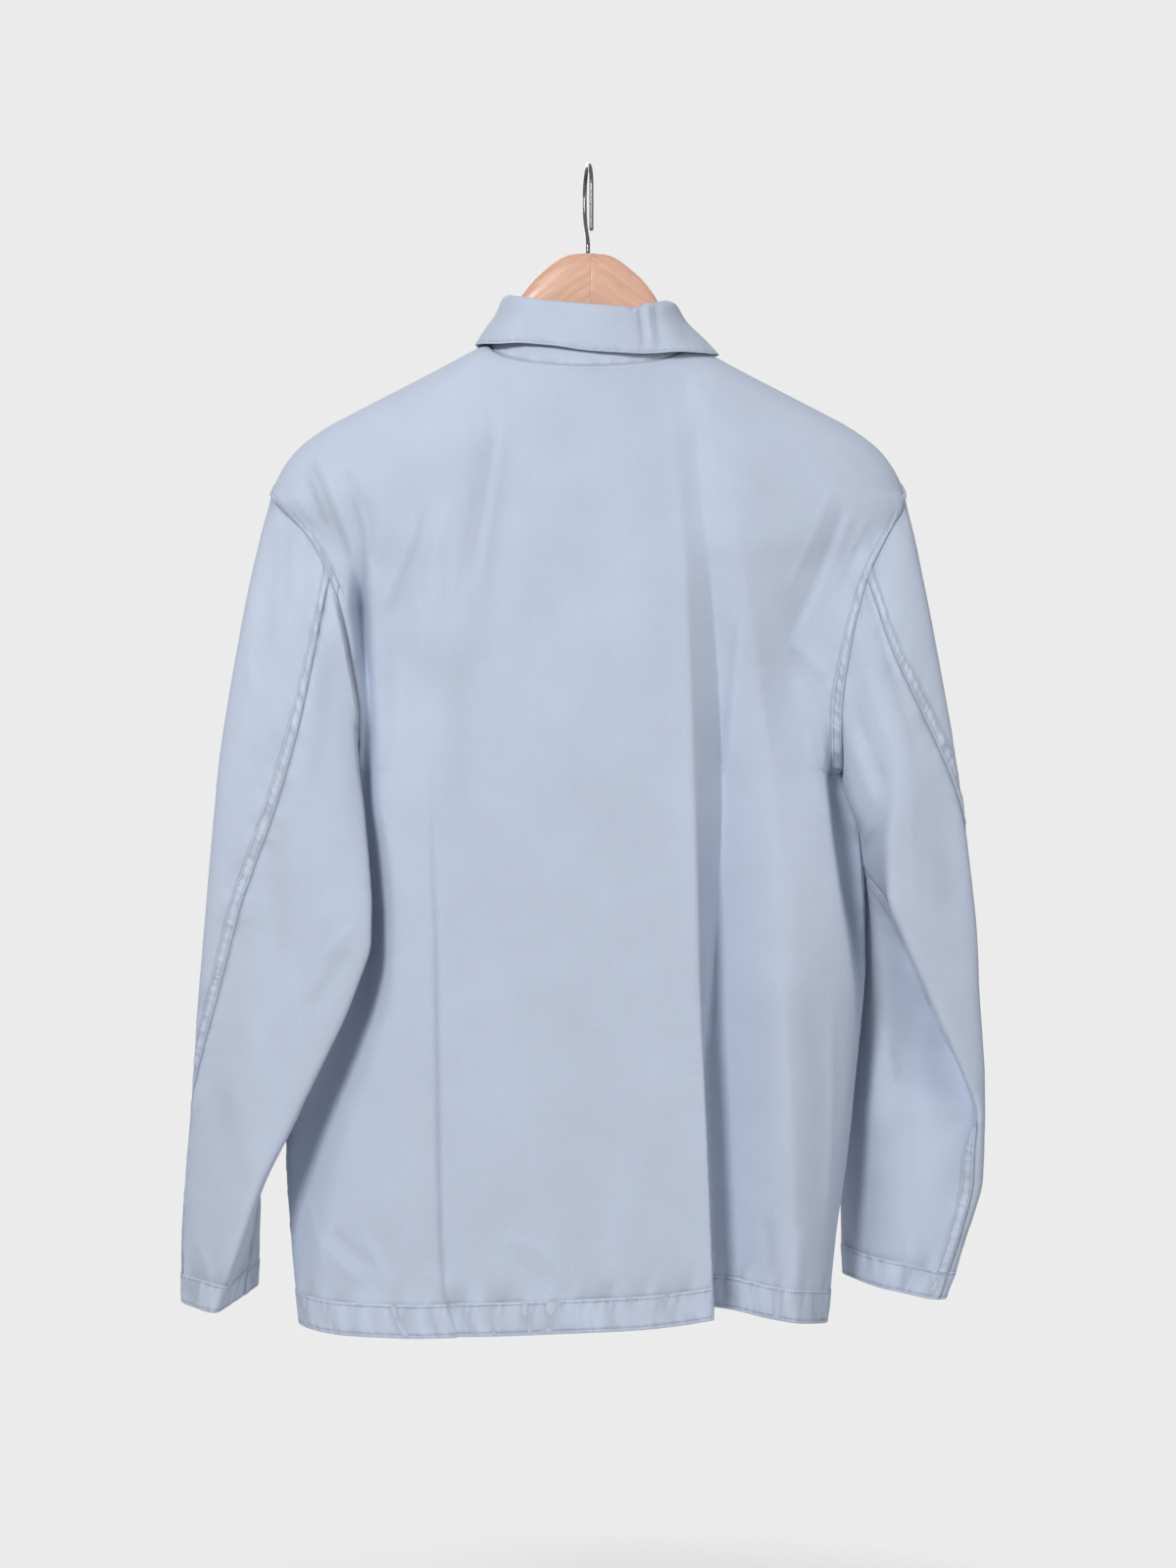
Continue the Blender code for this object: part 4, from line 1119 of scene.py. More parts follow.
class Nodes:
    """Short hand for building a node material."""

    def __init__(self, name):
        self.material = bpy.data.materials.new(name)
        self.material.use_nodes = True
        self.tree = self.material.node_tree
        self.shader = self.tree.nodes["Principled BSDF"]

    def add(self, kind, **settings):
        """A node with its settings and input values."""
        node = self.tree.nodes.new("ShaderNode" + kind)
        for key, value in settings.items():
            if hasattr(node, key):
                setattr(node, key, value)
            else:
                node.inputs[key.replace("_", " ")].default_value = value
        return node

    def feed(self, socket, value):
        """Link an output to a socket, or set the socket to a number or a colour."""
        if isinstance(value, bpy.types.NodeSocket):
            self.tree.links.new(value, socket)
        elif isinstance(value, tuple):
            socket.default_value = (*value, 1.0)
        else:
            socket.default_value = value

    def surface(self, **links):
        for name, output in links.items():
            self.feed(self.shader.inputs[name.replace("_", " ")], output)

    def place(self):
        return self.add("TexCoord").outputs["Object"]

    def mapped(self, place, **settings):
        node = self.add("Mapping", **settings)
        self.feed(node.inputs[0], place)
        return node.outputs[0]

    def noise(self, place, scale, detail, **settings):
        node = self.add("TexNoise", Scale=scale, Detail=detail, **settings)
        self.feed(node.inputs["Vector"], place)
        return node.outputs[0]

    def maths(self, operation, a, b=None):
        node = self.add("Math", operation=operation)
        self.feed(node.inputs[0], a)
        if b is not None:
            self.feed(node.inputs[1], b)
        return node.outputs[0]

    def blend(self, share, a, b):
        """a where share is 0, b where it is 1."""
        node = self.add("Mix", data_type="RGBA")
        for socket, value in ((0, share), (6, a), (7, b)):
            self.feed(node.inputs[socket], value)
        return node.outputs[2]

    def span(self, value, *ends):
        """A value moved from one range (two ends) to another (two more)."""
        node = self.add("MapRange")
        for socket, number in enumerate((value, *ends)):
            self.feed(node.inputs[socket], number)
        return node.outputs[0]

    def bump(self, height, strength, distance, below=None):
        node = self.add("Bump", Strength=strength, Distance=distance)
        self.feed(node.inputs["Height"], height)
        if below is not None:
            self.feed(node.inputs["Normal"], below)
        return node.outputs[0]

    def set(self, **values):
        for key, value in values.items():
            self.shader.inputs[key.replace("_", " ")].default_value = value


def cloth_material(name, settings):
    """Washed cotton poplin: fine plain weave, slubs, cloudy wash, a little sheen, and colour from
    a per-point attribute that paints shade into dips, cracks and stitch holes and lightens ridges
    and edges, partly rubbing and partly painted highlight.
    """
    made = Nodes(name)
    uv = made.add("UVMap", uv_map="cloth").outputs[0]
    base = tuple(settings.colour)

    def cloud(scale, detail, stretch=(1, 1, 1)):
        return made.noise(made.mapped(uv, Scale=stretch), scale, detail, Roughness=0.6)

    wash = cloud(14.0, 4.0)
    warp = cloud(900.0, 2.0, (1, 0.035, 1))
    weft = cloud(900.0, 2.0, (0.03, 1, 1))
    fleck = cloud(420.0, 3.0)
    pale = tuple(min(1.0, c * 1.03 + 0.004) for c in base)
    shade = made.blend(made.span(wash, 0.3, 0.7, 0.0, 1.0), tint(base, 0.96), pale)
    yarn = made.maths("ADD", warp, weft)
    shade = made.blend(made.span(yarn, 0.7, 1.3, 0.0, 0.14), shade, tint(base, 1.25))
    shade = made.blend(made.span(fleck, 0.58, 0.72, 0.0, 0.18), shade, tint(base, 0.7))
    # Per-point colour: below zero is painted shade in creases, seam cracks, stitch holes and
    # pucker dips; above zero lightens ridges and edges, partly rubbing of the washed cotton and
    # partly painted highlight.
    wear = made.add("Attribute", attribute_name="wear").outputs["Fac"]
    shade = made.blend(made.span(wear, -1.0, 0.0, 1.0, 0.0), shade, tint(base, 0.55))
    shade = made.blend(made.span(wear, 0.0, 1.0, 0.0, 1.0), shade, tint(base, 1.25))
    axes = made.add("SeparateXYZ")
    made.feed(axes.inputs[0], uv)
    turn = np.pi / settings.weave
    across, along = (
        made.maths("SINE", made.maths("MULTIPLY", axes.outputs[k], turn)) for k in (0, 1)
    )
    weave = made.maths("ABSOLUTE", made.maths("MULTIPLY", across, along))
    fine = made.bump(weave, 0.25, 0.00012)
    slub = made.bump(yarn, 0.20, 0.00022, fine)
    made.surface(
        Base_Color=shade, Normal=made.bump(cloud(70.0, 5.0), 0.16, 0.0012, slub),
        Roughness=made.span(fleck, 0.3, 0.7, 0.78, 0.92),
    )
    made.set(Sheen_Weight=0.12, Sheen_Roughness=0.6, Specular_IOR_Level=0.25)
    return made.material


def thread_material(name, base):
    """Twisted sewing thread."""
    made = Nodes(name)
    twist = made.noise(made.place(), 1800.0, 1.0)
    made.surface(
        Base_Color=made.blend(made.span(twist, 0.3, 0.7, 0, 1), tint(base, 0.86), tint(base, 1.1)),
        Normal=made.bump(twist, 0.3, 0.0001),
    )
    made.set(Roughness=0.62, Sheen_Weight=0.2)
    return made.material


def wood_material(name, light, dark, turn):
    """Oiled beech with slanting grain, fine pores and a satin coat."""
    made = Nodes(name)
    light, dark = tuple(light), tuple(dark)
    slant = made.mapped(made.place(), Rotation=(0.0, turn, 0.0))
    wide = made.mapped(slant, Scale=(14.0, 60.0, 150.0))
    bands = made.noise(wide, 1.6, 5.0, Roughness=0.55, Distortion=0.6)
    pores = made.noise(made.mapped(slant, Scale=(60.0, 900.0, 1400.0)), 1.0, 2.0)
    shade = made.blend(made.span(bands, 0.32, 0.68, 0.0, 1.0), light, dark)
    shade = made.blend(made.span(pores, 0.56, 0.72, 0.0, 0.5), shade, tint(dark, 0.6))
    made.surface(
        Base_Color=shade, Roughness=made.span(bands, 0.3, 0.7, 0.34, 0.5),
        Normal=made.bump(bands, 0.12, 0.0005, made.bump(pores, 0.25, 0.0003)),
    )
    made.set(Coat_Weight=0.2, Coat_Roughness=0.3)
    return made.material


def steel_material(name, base):
    """Drawn wire: bright, with fine rings left by the die."""
    made = Nodes(name)
    place = made.place()
    lines = made.noise(made.mapped(place, Scale=(300.0, 300.0, 2600.0)), 1.0, 3.0)
    smear = made.span(made.noise(place, 60.0, 3.0), 0.35, 0.65, 0, 1)
    made.surface(
        Base_Color=made.blend(smear, tint(base, 0.86), tuple(base)),
        Roughness=made.span(lines, 0.3, 0.7, 0.18, 0.34),
        Normal=made.bump(lines, 0.12, 0.00005),
    )
    made.set(Metallic=1.0)
    return made.material


def button_material(name, base):
    """Cast resin with a pearly cloud and fine scuffs."""
    made = Nodes(name)
    place = made.place()
    cloud = made.span(made.noise(place, 260.0, 3.0, Distortion=1.2), 0.35, 0.65, 0, 1)
    scuff = made.noise(place, 900.0, 2.0)
    made.surface(
        Base_Color=made.blend(cloud, tint(base, 0.88), tint(base, 1.15)),
        Roughness=made.span(scuff, 0.3, 0.7, 0.24, 0.4),
        Normal=made.bump(scuff, 0.08, 0.0001),
    )
    made.set(Coat_Weight=0.25, Coat_Roughness=0.2)
    return made.material


# ---- shapes ----------------------------------------------------------------------------
FINE = 1.0
COLUMNS_BACK = int(214 * FINE)
COLUMNS_FRONT = int(94 * FINE)
ROWS_SLEEVE = int(172 * FINE)
COLUMNS_SLEEVE = int(72 * FINE)
ROWS_LEAF = int(42 * FINE)
ROWS_STAND = 16
CREASE_SHADE = 0.12           # how much a crease's height shows as painted shade in its troughs and painted highlight on its ridges
MADE = {}              # panel: (grid, normal)
WEAR_AND_SHADING = {}              # panel: colour of rubbing and painted shade and highlight, one value a point


def whole(*edges):
    """Seams that run the whole length of their edges."""
    return tuple((*edge, ANY_LOW, ANY_HIGH) for edge in edges)


# panel: (edge, kind, seed, from_z, to_z)
BODY_SEAMS = {
    "back": (
        ("first", "felled", 11, SLEEVE_OVER_Z, ANY_HIGH),
        ("first", "plain", 14, ANY_LOW, SLEEVE_OVER_Z),
        ("last", "felled", 12, ARMPIT_Z, ANY_HIGH), ("last", "plain", 15, ANY_LOW, ARMPIT_Z),
        *whole(("foot", "hem", 13)),
    ),
    "front_right": whole(("first", "felled", 21), ("foot", "hem", 23), ("last", "edge", 24)),
    "front_left": whole(("last", "felled", 31), ("foot", "hem", 33), ("first", "edge", 34)),
}
LEAF_SEAMS = whole(("top", "edge", 92), ("first", "edge", 93), ("last", "edge", 94))


def keep_panel(name, grid, outward, seams, pucker, tone):
    """Raise a panel's seams, keep its colour of rubbing and painted shade and highlight and its
    final grid and normals.
    """
    rise, worn_and_shaded = relief(grid, seams)
    grid = grid + faced(grid, outward(grid)) * (rise * pucker)[:, :, None]
    # the seams' colour plus tone, the creases' painted shade and highlight
    WEAR_AND_SHADING[name] = worn_and_shaded + tone
    MADE[name] = (grid, faced(grid, outward(grid)))


def body_shapes():
    """Back and both fronts."""
    settings = bpy.context.scene.shirt_cloth
    panels = (
        ("back", -1, CREASES_BACK, (-SHOULDER_X, SHOULDER_X, 0, COLUMNS_BACK)),
        ("front_right", 1, CREASES_FRONT, (SHOULDER_X, -LAP, 0, COLUMNS_FRONT)),
        ("front_left", 1, CREASES_FRONT, (LAP, -SHOULDER_X, 1, COLUMNS_FRONT)),
    )
    for k, (name, side, creases, cut) in enumerate(panels):
        grid = body_grid(side, *cut)
        x, z = grid[:, :, 0], grid[:, :, 2]
        far = distances(grid)
        clear = ease(0.5, 12, far["first"]) * ease(0.5, 12, far["last"])
        clear = clear * ease(2, 26, top_line(x, side)[0] - z)
        height = crease_height(x, z, creases) * settings.crease
        height += 0.4 * ripple(x, z * 0.5, 46, 40 + k) + 0.16 * ripple(x, z * 0.6, 17, 50 + k)
        grid[:, :, 1] += side * height * clear
        if side < 0:
            past_crest = x - read(PLEAT_DEEP, "z", "x", z)
            pull = 3.0 * ease(-600, -740, z) * np.exp(-((past_crest - 3.0) / 4.0) ** 2)
            grid[:, :, 0] -= pull * clear
            grid[:, :, 2] += read(HEM_RISE, "x", "rise", x) * ease(HEM_Z + 260, HEM_Z + 10, z)
        # the last argument paints each crease's shade and highlight into the colour
        keep_panel(
            name, grid, lambda _: np.array([0, side, 0.0]), BODY_SEAMS[name], settings.pucker,
            CREASE_SHADE * height * clear,
        )


def sleeve_pair(side, sign, table, column):
    """Grids of one sleeve's under and upper piece, cuff row first."""
    mirror = np.array([sign, 1, 1])

    def behind(a, b):
        return armhole_line(MADE["back"][0], -column - 1, a, b)

    def before(a, b):
        return armhole_line(MADE["front_" + side][0], column, a, b)

    under = np.vstack([behind(BACK_SEAM_Z, ARMPIT_Z), before(ARMPIT_Z, FRONT_SEAM_Z)[1:]])
    upper = np.vstack([before(FRONT_SEAM_Z, SHOULDER_Z), behind(SHOULDER_Z, BACK_SEAM_Z)[1:]])
    return {
        part: (sleeve_grid(
            table, seam * mirror, part == "under", ROWS_SLEEVE, COLUMNS_SLEEVE
        ) * mirror)[::-1]
        for part, seam in (("under", under), ("upper", upper))
    }


def sleeve_shapes():
    """Upper and under piece of each sleeve."""
    settings = bpy.context.scene.shirt_cloth
    for side, sign, table, creases, column in (
        ("right", 1, SLEEVE_RIGHT, CREASES_RIGHT_SLEEVE, 0),
        ("left", -1, SLEEVE_LEFT, CREASES_LEFT_SLEEVE, -1),
    ):
        pair = sleeve_pair(side, sign, table, column)
        centre = (pair["under"].mean(axis=1) + pair["upper"].mean(axis=1)) / 2

        def outward(grid):
            return grid - centre[:, None]

        for k, (part, grid) in enumerate(pair.items()):
            normal = faced(grid, outward(grid))
            far = distances(grid)
            clear = ease(0.5, 9, far["first"]) * ease(0.5, 9, far["last"])
            clear = clear * ease(0, 6, far["top"])
            x, z = grid[:, :, 0], grid[:, :, 2]
            near = ease(0.15, -0.35, normal[:, :, 1])
            height = crease_height(x, z, creases) * near
            height += 0.8 * crease_height(x - 5, z + 22, creases) * (1 - near)
            height = height * settings.crease
            round_way = grid[:, :, 1] * 0.8 + x
            seed = 60 + 10 * k + (5 if sign > 0 else 0)
            height += 0.4 * ripple(round_way, z * 0.6, 34, seed)
            height += 0.2 * ripple(round_way, z * 0.7, 14, seed + 1)
            if side == "left" and part == "under":
                rise = ease(0, 7, far["top"]) * np.exp(-(far["top"] / 55) ** 2)
                grid[:, :, 1] -= LIP * rise * ease(-325, -370, z) * near * clear
            grid = grid + normal * (height * clear)[:, :, None]
            kind = "felled" if part == "upper" else "plain"
            seams = whole(
                ("first", kind, seed + 2), ("last", kind, seed + 3), ("top", "plain", seed + 4),
                ("foot", "cuff", seed + 5),
            )
            # the last argument paints each crease's shade and highlight into the colour
            keep_panel(
                f"sleeve_{side}_{part}", grid, outward, seams, settings.pucker,
                CREASE_SHADE * height * clear,
            )


def neck_line():
    """Points of the neck seam from the right front's edge round the back to the left's."""
    lap = np.arcsin(LAP / NECK_HALF)
    right = NECK_HALF * np.sin(np.linspace(-lap, np.pi / 2, 70))
    round_back = NECK_HALF * np.sin(np.linspace(np.pi / 2, -np.pi / 2, 141))[1:-1]
    left = NECK_HALF * np.sin(np.linspace(-np.pi / 2, lap, 70))
    parts = []
    for x, side, rises in ((right, 1, 0), (round_back, -1, 0), (left, 1, 1)):
        z, y = top_line(x, side)
        lift = ease(-LAP - 20 - LAP_RAMP, -LAP - 20, x)
        parts.append(np.stack([x, y + rises * lift * LAP_RISE, z], axis=-1))
    order = np.concatenate([np.full(len(p), k) for k, p in enumerate(parts)])
    return np.vstack(parts), order


def collar_shapes():
    """Collar stand and leaf, with the notch and folds of the leaf."""
    neck, order = neck_line()
    stand, leaf = collar_rings(neck)
    hidden = ((order == 0) & (neck[:, 0] < LEAF_END_X)) | (
        (order == 2) & (neck[:, 0] > -LEAF_END_X)
    )
    leaf = finer_rows(leaf[:, ~hidden], ROWS_LEAF)
    stand = finer_rows(stand, ROWS_STAND)
    outward = leaf.copy()
    outward[:, :, 2] = 20.0
    x, z = leaf[:, :, 0], leaf[:, :, 2]
    behind = leaf[:, :, 1] < 0
    from_foot = distances(leaf)["foot"]
    height = np.where(behind, crease_height(x, z, CREASES_LEAF), 0)
    height += 0.35 * ripple(x + leaf[:, :, 1], z, 24, 91)
    shown = ease(1.5, 7, from_foot)
    leaf = leaf + faced(leaf, outward) * (height * shown)[:, :, None]
    notch = np.exp(-((x - 34) / 2.6) ** 2) * behind * (1 - ease(9, 20, from_foot)) * shown
    leaf[:, :, 2] -= 2.4 * notch
    # 0.2 * height paints the leaf's crease shade and highlight into the colour
    keep_panel("collar_leaf", leaf, lambda _: outward, LEAF_SEAMS, 1.0, 0.2 * height)
    level = stand * (1, 1, 0)
    normal = faced(stand, level)
    x, z = stand[:, :, 0], stand[:, :, 2]
    from_foot = distances(stand)["foot"]
    low = (0.35 * ripple(x, z, 16, 95) + 0.2 * wander(x, 6, 96)) * ease(0, 4, from_foot)
    gather = 0.3 * wander(x, 2.6, 97) * row_dip(from_foot, 2.0, 2.6)
    # the stand's colour: gathers painted darker in their dips and paler on their ridges
    WEAR_AND_SHADING["collar_stand"] = gather
    MADE["collar_stand"] = (stand + normal * (low + gather)[:, :, None], normal)


def shapes():
    """All cloth panels by name, worked out once."""
    if not MADE:
        body_shapes()
        sleeve_shapes()
        collar_shapes()
    return MADE


# ---- pieces ----------------------------------------------------------------------------
BANDS = {
    # panel: (edge, kind, seed, from_z, to_z)
    "back": (
        ("first", "felled", 111, SLEEVE_OVER_Z, ANY_HIGH),
        ("last", "felled", 112, ARMPIT_Z + 2, ANY_HIGH),
        ("foot", "hem", 113, ANY_LOW, ANY_HIGH),
    ),
    "front_right": (
        ("first", "felled", 121, ABOVE_HEM, ANY_HIGH), ("foot", "hem", 123, ANY_LOW, ANY_HIGH),
    ),
    "front_left": (
        ("last", "felled", 131, ABOVE_HEM, ANY_HIGH), ("foot", "hem", 133, ANY_LOW, ANY_HIGH),
    ),
    "sleeve_left_upper": (
        ("first", "felled", 141, ABOVE_CUFF, ANY_HIGH),
        ("last", "felled", 142, ABOVE_CUFF, ANY_HIGH),
        ("foot", "cuff", 143, ANY_LOW, ANY_HIGH),
    ),
    "sleeve_left_under": (("foot", "cuff", 153, ANY_LOW, ANY_HIGH),),
    "sleeve_right_upper": (
        ("first", "felled", 161, ABOVE_CUFF, -745), ("first", "felled", 164, -470, ANY_HIGH),
        ("last", "felled", 162, ABOVE_CUFF, ANY_HIGH),
        ("foot", "cuff", 163, ANY_LOW, ANY_HIGH),
    ),
    "sleeve_right_under": (("foot", "cuff", 173, ANY_LOW, ANY_HIGH),),
}
ROWS = {
    # panel: (edge, distance) of rows sewn straight through the panel
    "front_right": (("last", EDGE_ROW),),
    "front_left": (("first", EDGE_ROW), ("first", PLACKET)),
    "collar_stand": (("foot", 1.6),),
    "collar_leaf": tuple((edge, EDGE_ROW) for edge in ("top", "first", "last")),
}


def settle(piece, slot, *nodes):
    """Ride on the body and stand for the nodes, which it hides. The slot is not used."""
    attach(piece, "root")
    if nodes:
        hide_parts(*nodes)


def cloth_look():
    """The cloth's material, made once."""
    found = bpy.data.materials.get("poplin")
    return found or cloth_material("poplin", bpy.context.scene.shirt_cloth)


def thread_look():
    """The sewing thread's material, made once."""
    found = bpy.data.materials.get("sewing_thread")
    return found or thread_material("sewing_thread", bpy.context.scene.shirt_cloth.thread)


def trim(name):
    """Bands and stitches of one panel, from its rows in BANDS and ROWS."""
    pitch = bpy.context.scene.shirt_cloth.stitch * 1000
    thread = Thread()
    made = []
    if name in BANDS:
        made.append(band_pieces(name, BANDS[name], cloth_look(), thread, pitch))
    for edge, distance in ROWS.get(name, ()):
        line = across_edge(*shapes()[name], edge, (distance,))[:, 0]
        thread.sew(line[:, :3], line[:, 3:], pitch)
    made.append(thread.piece(name + "_stitches", thread_look()))
    for piece in made:
        settle(piece, "cloth")
    return made


def panel(name):
    """One cloth panel with its bands and stitches."""
    grid, normal = shapes()[name]
    piece = cloth_piece(name + "_cloth", grid, normal, cloth_look(), WEAR_AND_SHADING[name])
    settle(piece, "cloth", name)
    trim(name)


def volume(piece):
    """Six times the signed volume of a closed piece."""
    mesh = piece.data
    mesh.calc_loop_triangles()
    places = np.empty(len(mesh.vertices) * 3)
    mesh.vertices.foreach_get("co", places)
    corners = np.empty(len(mesh.loop_triangles) * 3, dtype=np.int32)
    mesh.loop_triangles.foreach_get("vertices", corners)
    a, b, c = places.reshape(-1, 3)[corners.reshape(-1, 3)].transpose(1, 0, 2)
    return float((a * np.cross(b, c)).sum())


def tube_mesh(name, rings, look):
    """Closed tube through equal rings of points, its ends capped."""
    rings = np.array(rings)
    count, around, _ = rings.shape
    points = np.vstack([rings.reshape(-1, 3), rings[0].mean(axis=0), rings[-1].mean(axis=0)])
    tip, base = count * around, (count - 1) * around
    caps = [(i, tip, (i + 1) % around) for i in range(around)]
    caps += [(base + (i + 1) % around, tip + 1, base + i) for i in range(around)]
    mesh = bpy.data.meshes.new(name)
    mesh.from_pydata(points / 1000, [], ring_faces(count, around).tolist() + caps)
    mesh.validate()
    mesh.polygons.foreach_set("use_smooth", np.ones(len(mesh.polygons), dtype=bool))
    mesh.materials.append(look)
    made = bpy.data.objects.new(name, mesh)
    bpy.context.scene.collection.objects.link(made)
    if volume(made) < 0:
        mesh.flip_normals()
    return made


class SHIRT_OT_body(bpy.types.Operator):
    """Back and both fronts, with felled seams, hem, placket and their stitches"""

    bl_idname = "shirt.body"
    bl_label = "Body"

    def execute(self, context):
        for name in ("back", "front_right", "front_left"):
            panel(name)
        return {"FINISHED"}


class SHIRT_OT_sleeves(bpy.types.Operator):
    """Two-piece sleeves with felled seams and stitched cuffs"""

    bl_idname = "shirt.sleeves"
    bl_label = "Sleeves"

    def execute(self, context):
        for side in ("left", "right"):
            for part in ("upper", "under"):
                panel(f"sleeve_{side}_{part}")
        return {"FINISHED"}


class SHIRT_OT_collar(bpy.types.Operator):
    """Collar stand and turned-down leaf, edge stitched"""

    bl_idname = "shirt.collar"
    bl_label = "Collar"

    def execute(self, context):
        panel("collar_stand")
        panel("collar_leaf")
        return {"FINISHED"}


BUTTON_THICK = 2.6
BUTTON_HOLES = 1.7     # from the middle to each of four holes
BUTTON_HOLE_R = 0.75
BUTTON_PROFILE = (     # share of the radius, share of the thickness
    (0.80, 0.0), (0.97, 0.10), (1.0, 0.35), (1.0, 0.68), (0.965, 0.9), (0.90, 1.0),
    (0.82, 0.98), (0.76, 0.88), (0.70, 0.76), (0.55, 0.68), (0.30, 0.66),
)
SLIT = 15.0            # length of a buttonhole
SLIT_HALF = 1.5        # half the width of its stitching
BUTTON_LIFT = 0.0009   # m, button and its thread above the panel's middle
SLIT_LIFT = 0.00035    # m


def button_blank(radius, look):
    """Round four-hole button about the origin, its face along +Z."""
    rings = [circle(72, share * radius, up * BUTTON_THICK) for share, up in BUTTON_PROFILE]
    blank = tube_mesh("button_blank", rings, look)
    holes = []
    for quarter in ((1, 1), (-1, 1), (-1, -1), (1, -1)):
        middle = np.array(quarter) * BUTTON_HOLES / np.sqrt(2)
        bore = [circle(20, BUTTON_HOLE_R, z, middle) for z in (-1.0, BUTTON_THICK + 1.0)]
        holes.append(tube_mesh("button_bore", bore, look))
        cut = blank.modifiers.new("bore", "BOOLEAN")
        cut.operation = "DIFFERENCE"
        cut.object = holes[-1]
        cut.solver = "EXACT"
    bpy.context.view_layer.update()
    shaped = blank.evaluated_get(bpy.context.evaluated_depsgraph_get())
    mesh = bpy.data.meshes.new_from_object(shaped)
    for used in holes + [blank]:
        bpy.data.objects.remove(used)
    return mesh


def thread_bars():
    """Thread through the holes: two bars over the middle, from hole to hole."""
    thread = Thread()
    reach = BUTTON_HOLES / np.sqrt(2)
    z = BUTTON_THICK * 0.62
    for y in (reach, -reach):
        for k in (-0.22, 0.0, 0.22):
            ends = ((-reach * 1.25, y + k, z), (reach * 1.25, y + k, z))
            thread.bar(*ends, reach * 2.5, 0.2)
    return thread


def buttonhole():
    """Satin-stitched slit round the middle, in the plane z = 0."""
    thread = Thread()
    for side in (-1, 1):
        for at in np.arange(-SLIT / 2, SLIT / 2, 0.55):
            ends = ((side * 0.25, at, 0.0), (side * SLIT_HALF, at + 0.08, 0.0))
            thread.bar(*ends, 1.4, 0.24)
    return thread


class SHIRT_OT_buttons(bpy.types.Operator):
    """Six four-hole buttons down the front, with thread and buttonholes"""

    bl_idname = "shirt.buttons"
    bl_label = "Buttons"

    def execute(self, context):
        look = button_material("button_resin", context.scene.shirt_trim.button_colour)
        low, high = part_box("button_2")
        blank = button_blank((high.x - low.x) / 2 * 1000, look)
        sewn = (
            ("thread", thread_bars(), BUTTON_LIFT), ("buttonhole", buttonhole(), SLIT_LIFT),
        )
        grid, normal = (side.reshape(-1, 3) for side in shapes()["front_left"])
        for k in range(1, 7):
            low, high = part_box(f"button_{k}")
            middle = (Vector(low) + Vector(high)) * 500
            nearest = int(np.argmin(np.hypot(grid[:, 0] - middle.x, grid[:, 2] - middle.z)))
            foot = Vector((middle.x, grid[nearest, 1], middle.z)) / 1000
            turn = Vector(normal[nearest]).to_track_quat("Z", "Y").to_matrix().to_4x4()
            seat = Matrix.Translation(foot) @ turn
            button = bpy.data.objects.new(f"button_{k}_resin", blank.copy())
            bpy.context.scene.collection.objects.link(button)
            button.matrix_world = seat @ Matrix.Translation((0, 0, BUTTON_LIFT))
            settle(button, "button", f"button_{k}")
            for word, thread, lift in sewn:
                piece = thread.piece(f"button_{k}_{word}", thread_look())
                piece.matrix_world = seat @ Matrix.Translation((0, 0, lift))
                settle(piece, "cloth")
        return {"FINISHED"}


HANGER_SIDES = 56
HANGER_RINGS = 150
HANGER_START = ((0.0, 0.35, 1.0), (0.985, 0.996, 1.0))  # beyond the joint: x, share of the size
HANGER_END = ((230, 232, 233.5, 234.6, 235.3, 235.6), (1.0, 0.9, 0.8, 0.62, 0.38, 0.15))


class SHIRT_OT_hanger(bpy.types.Operator):
    """Two shaped beech halves that meet beside the middle"""

    bl_idname = "shirt.hanger"
    bl_label = "Hanger"

    def execute(self, context):
        trim = context.scene.shirt_trim
        turn = np.arange(HANGER_SIDES) * 2 * np.pi / HANGER_SIDES
        c, s = np.cos(turn), np.sin(turn)
        wide, tall = np.sign(c) * np.abs(c) ** 0.82, np.sign(s) * np.abs(s) ** 0.92
        share = np.concatenate([HANGER_START[1], np.ones(HANGER_RINGS), HANGER_END[1]])[:, None]
        for name, sign in (("hanger_right", 1), ("hanger_left", -1)):
            look = wood_material(
                "beech_" + name[7:], trim.wood_light, trim.wood_dark, -sign * 0.6
            )
            x = np.concatenate([
                HANGER_JOINT_X + sign * 0.03 + sign * np.array(HANGER_START[0]),
                sign * np.linspace(6, 228, HANGER_RINGS), sign * np.array(HANGER_END[0]),
            ])[:, None]
            top, height, depth = (
                read(HANGER, "x", key, abs(x)) for key in ("top", "height", "depth")
            )
            z = top - height / 2 + height / 2 * share * tall
            rings = np.stack([x + 0 * z, depth * share * wide, z], axis=-1)
            settle(tube_mesh(name + "_beech", rings, look), "wood", name)
        return {"FINISHED"}


STEM_RINGS, BEND_RINGS, TAIL_RINGS, TIP_RINGS = 60, 48, 24, 6
HOOK_STEM = ((0, HOOK_FOOT_Z), (0, -62), (2, -57), (9, -49), (17, -40), (20.6, -31))


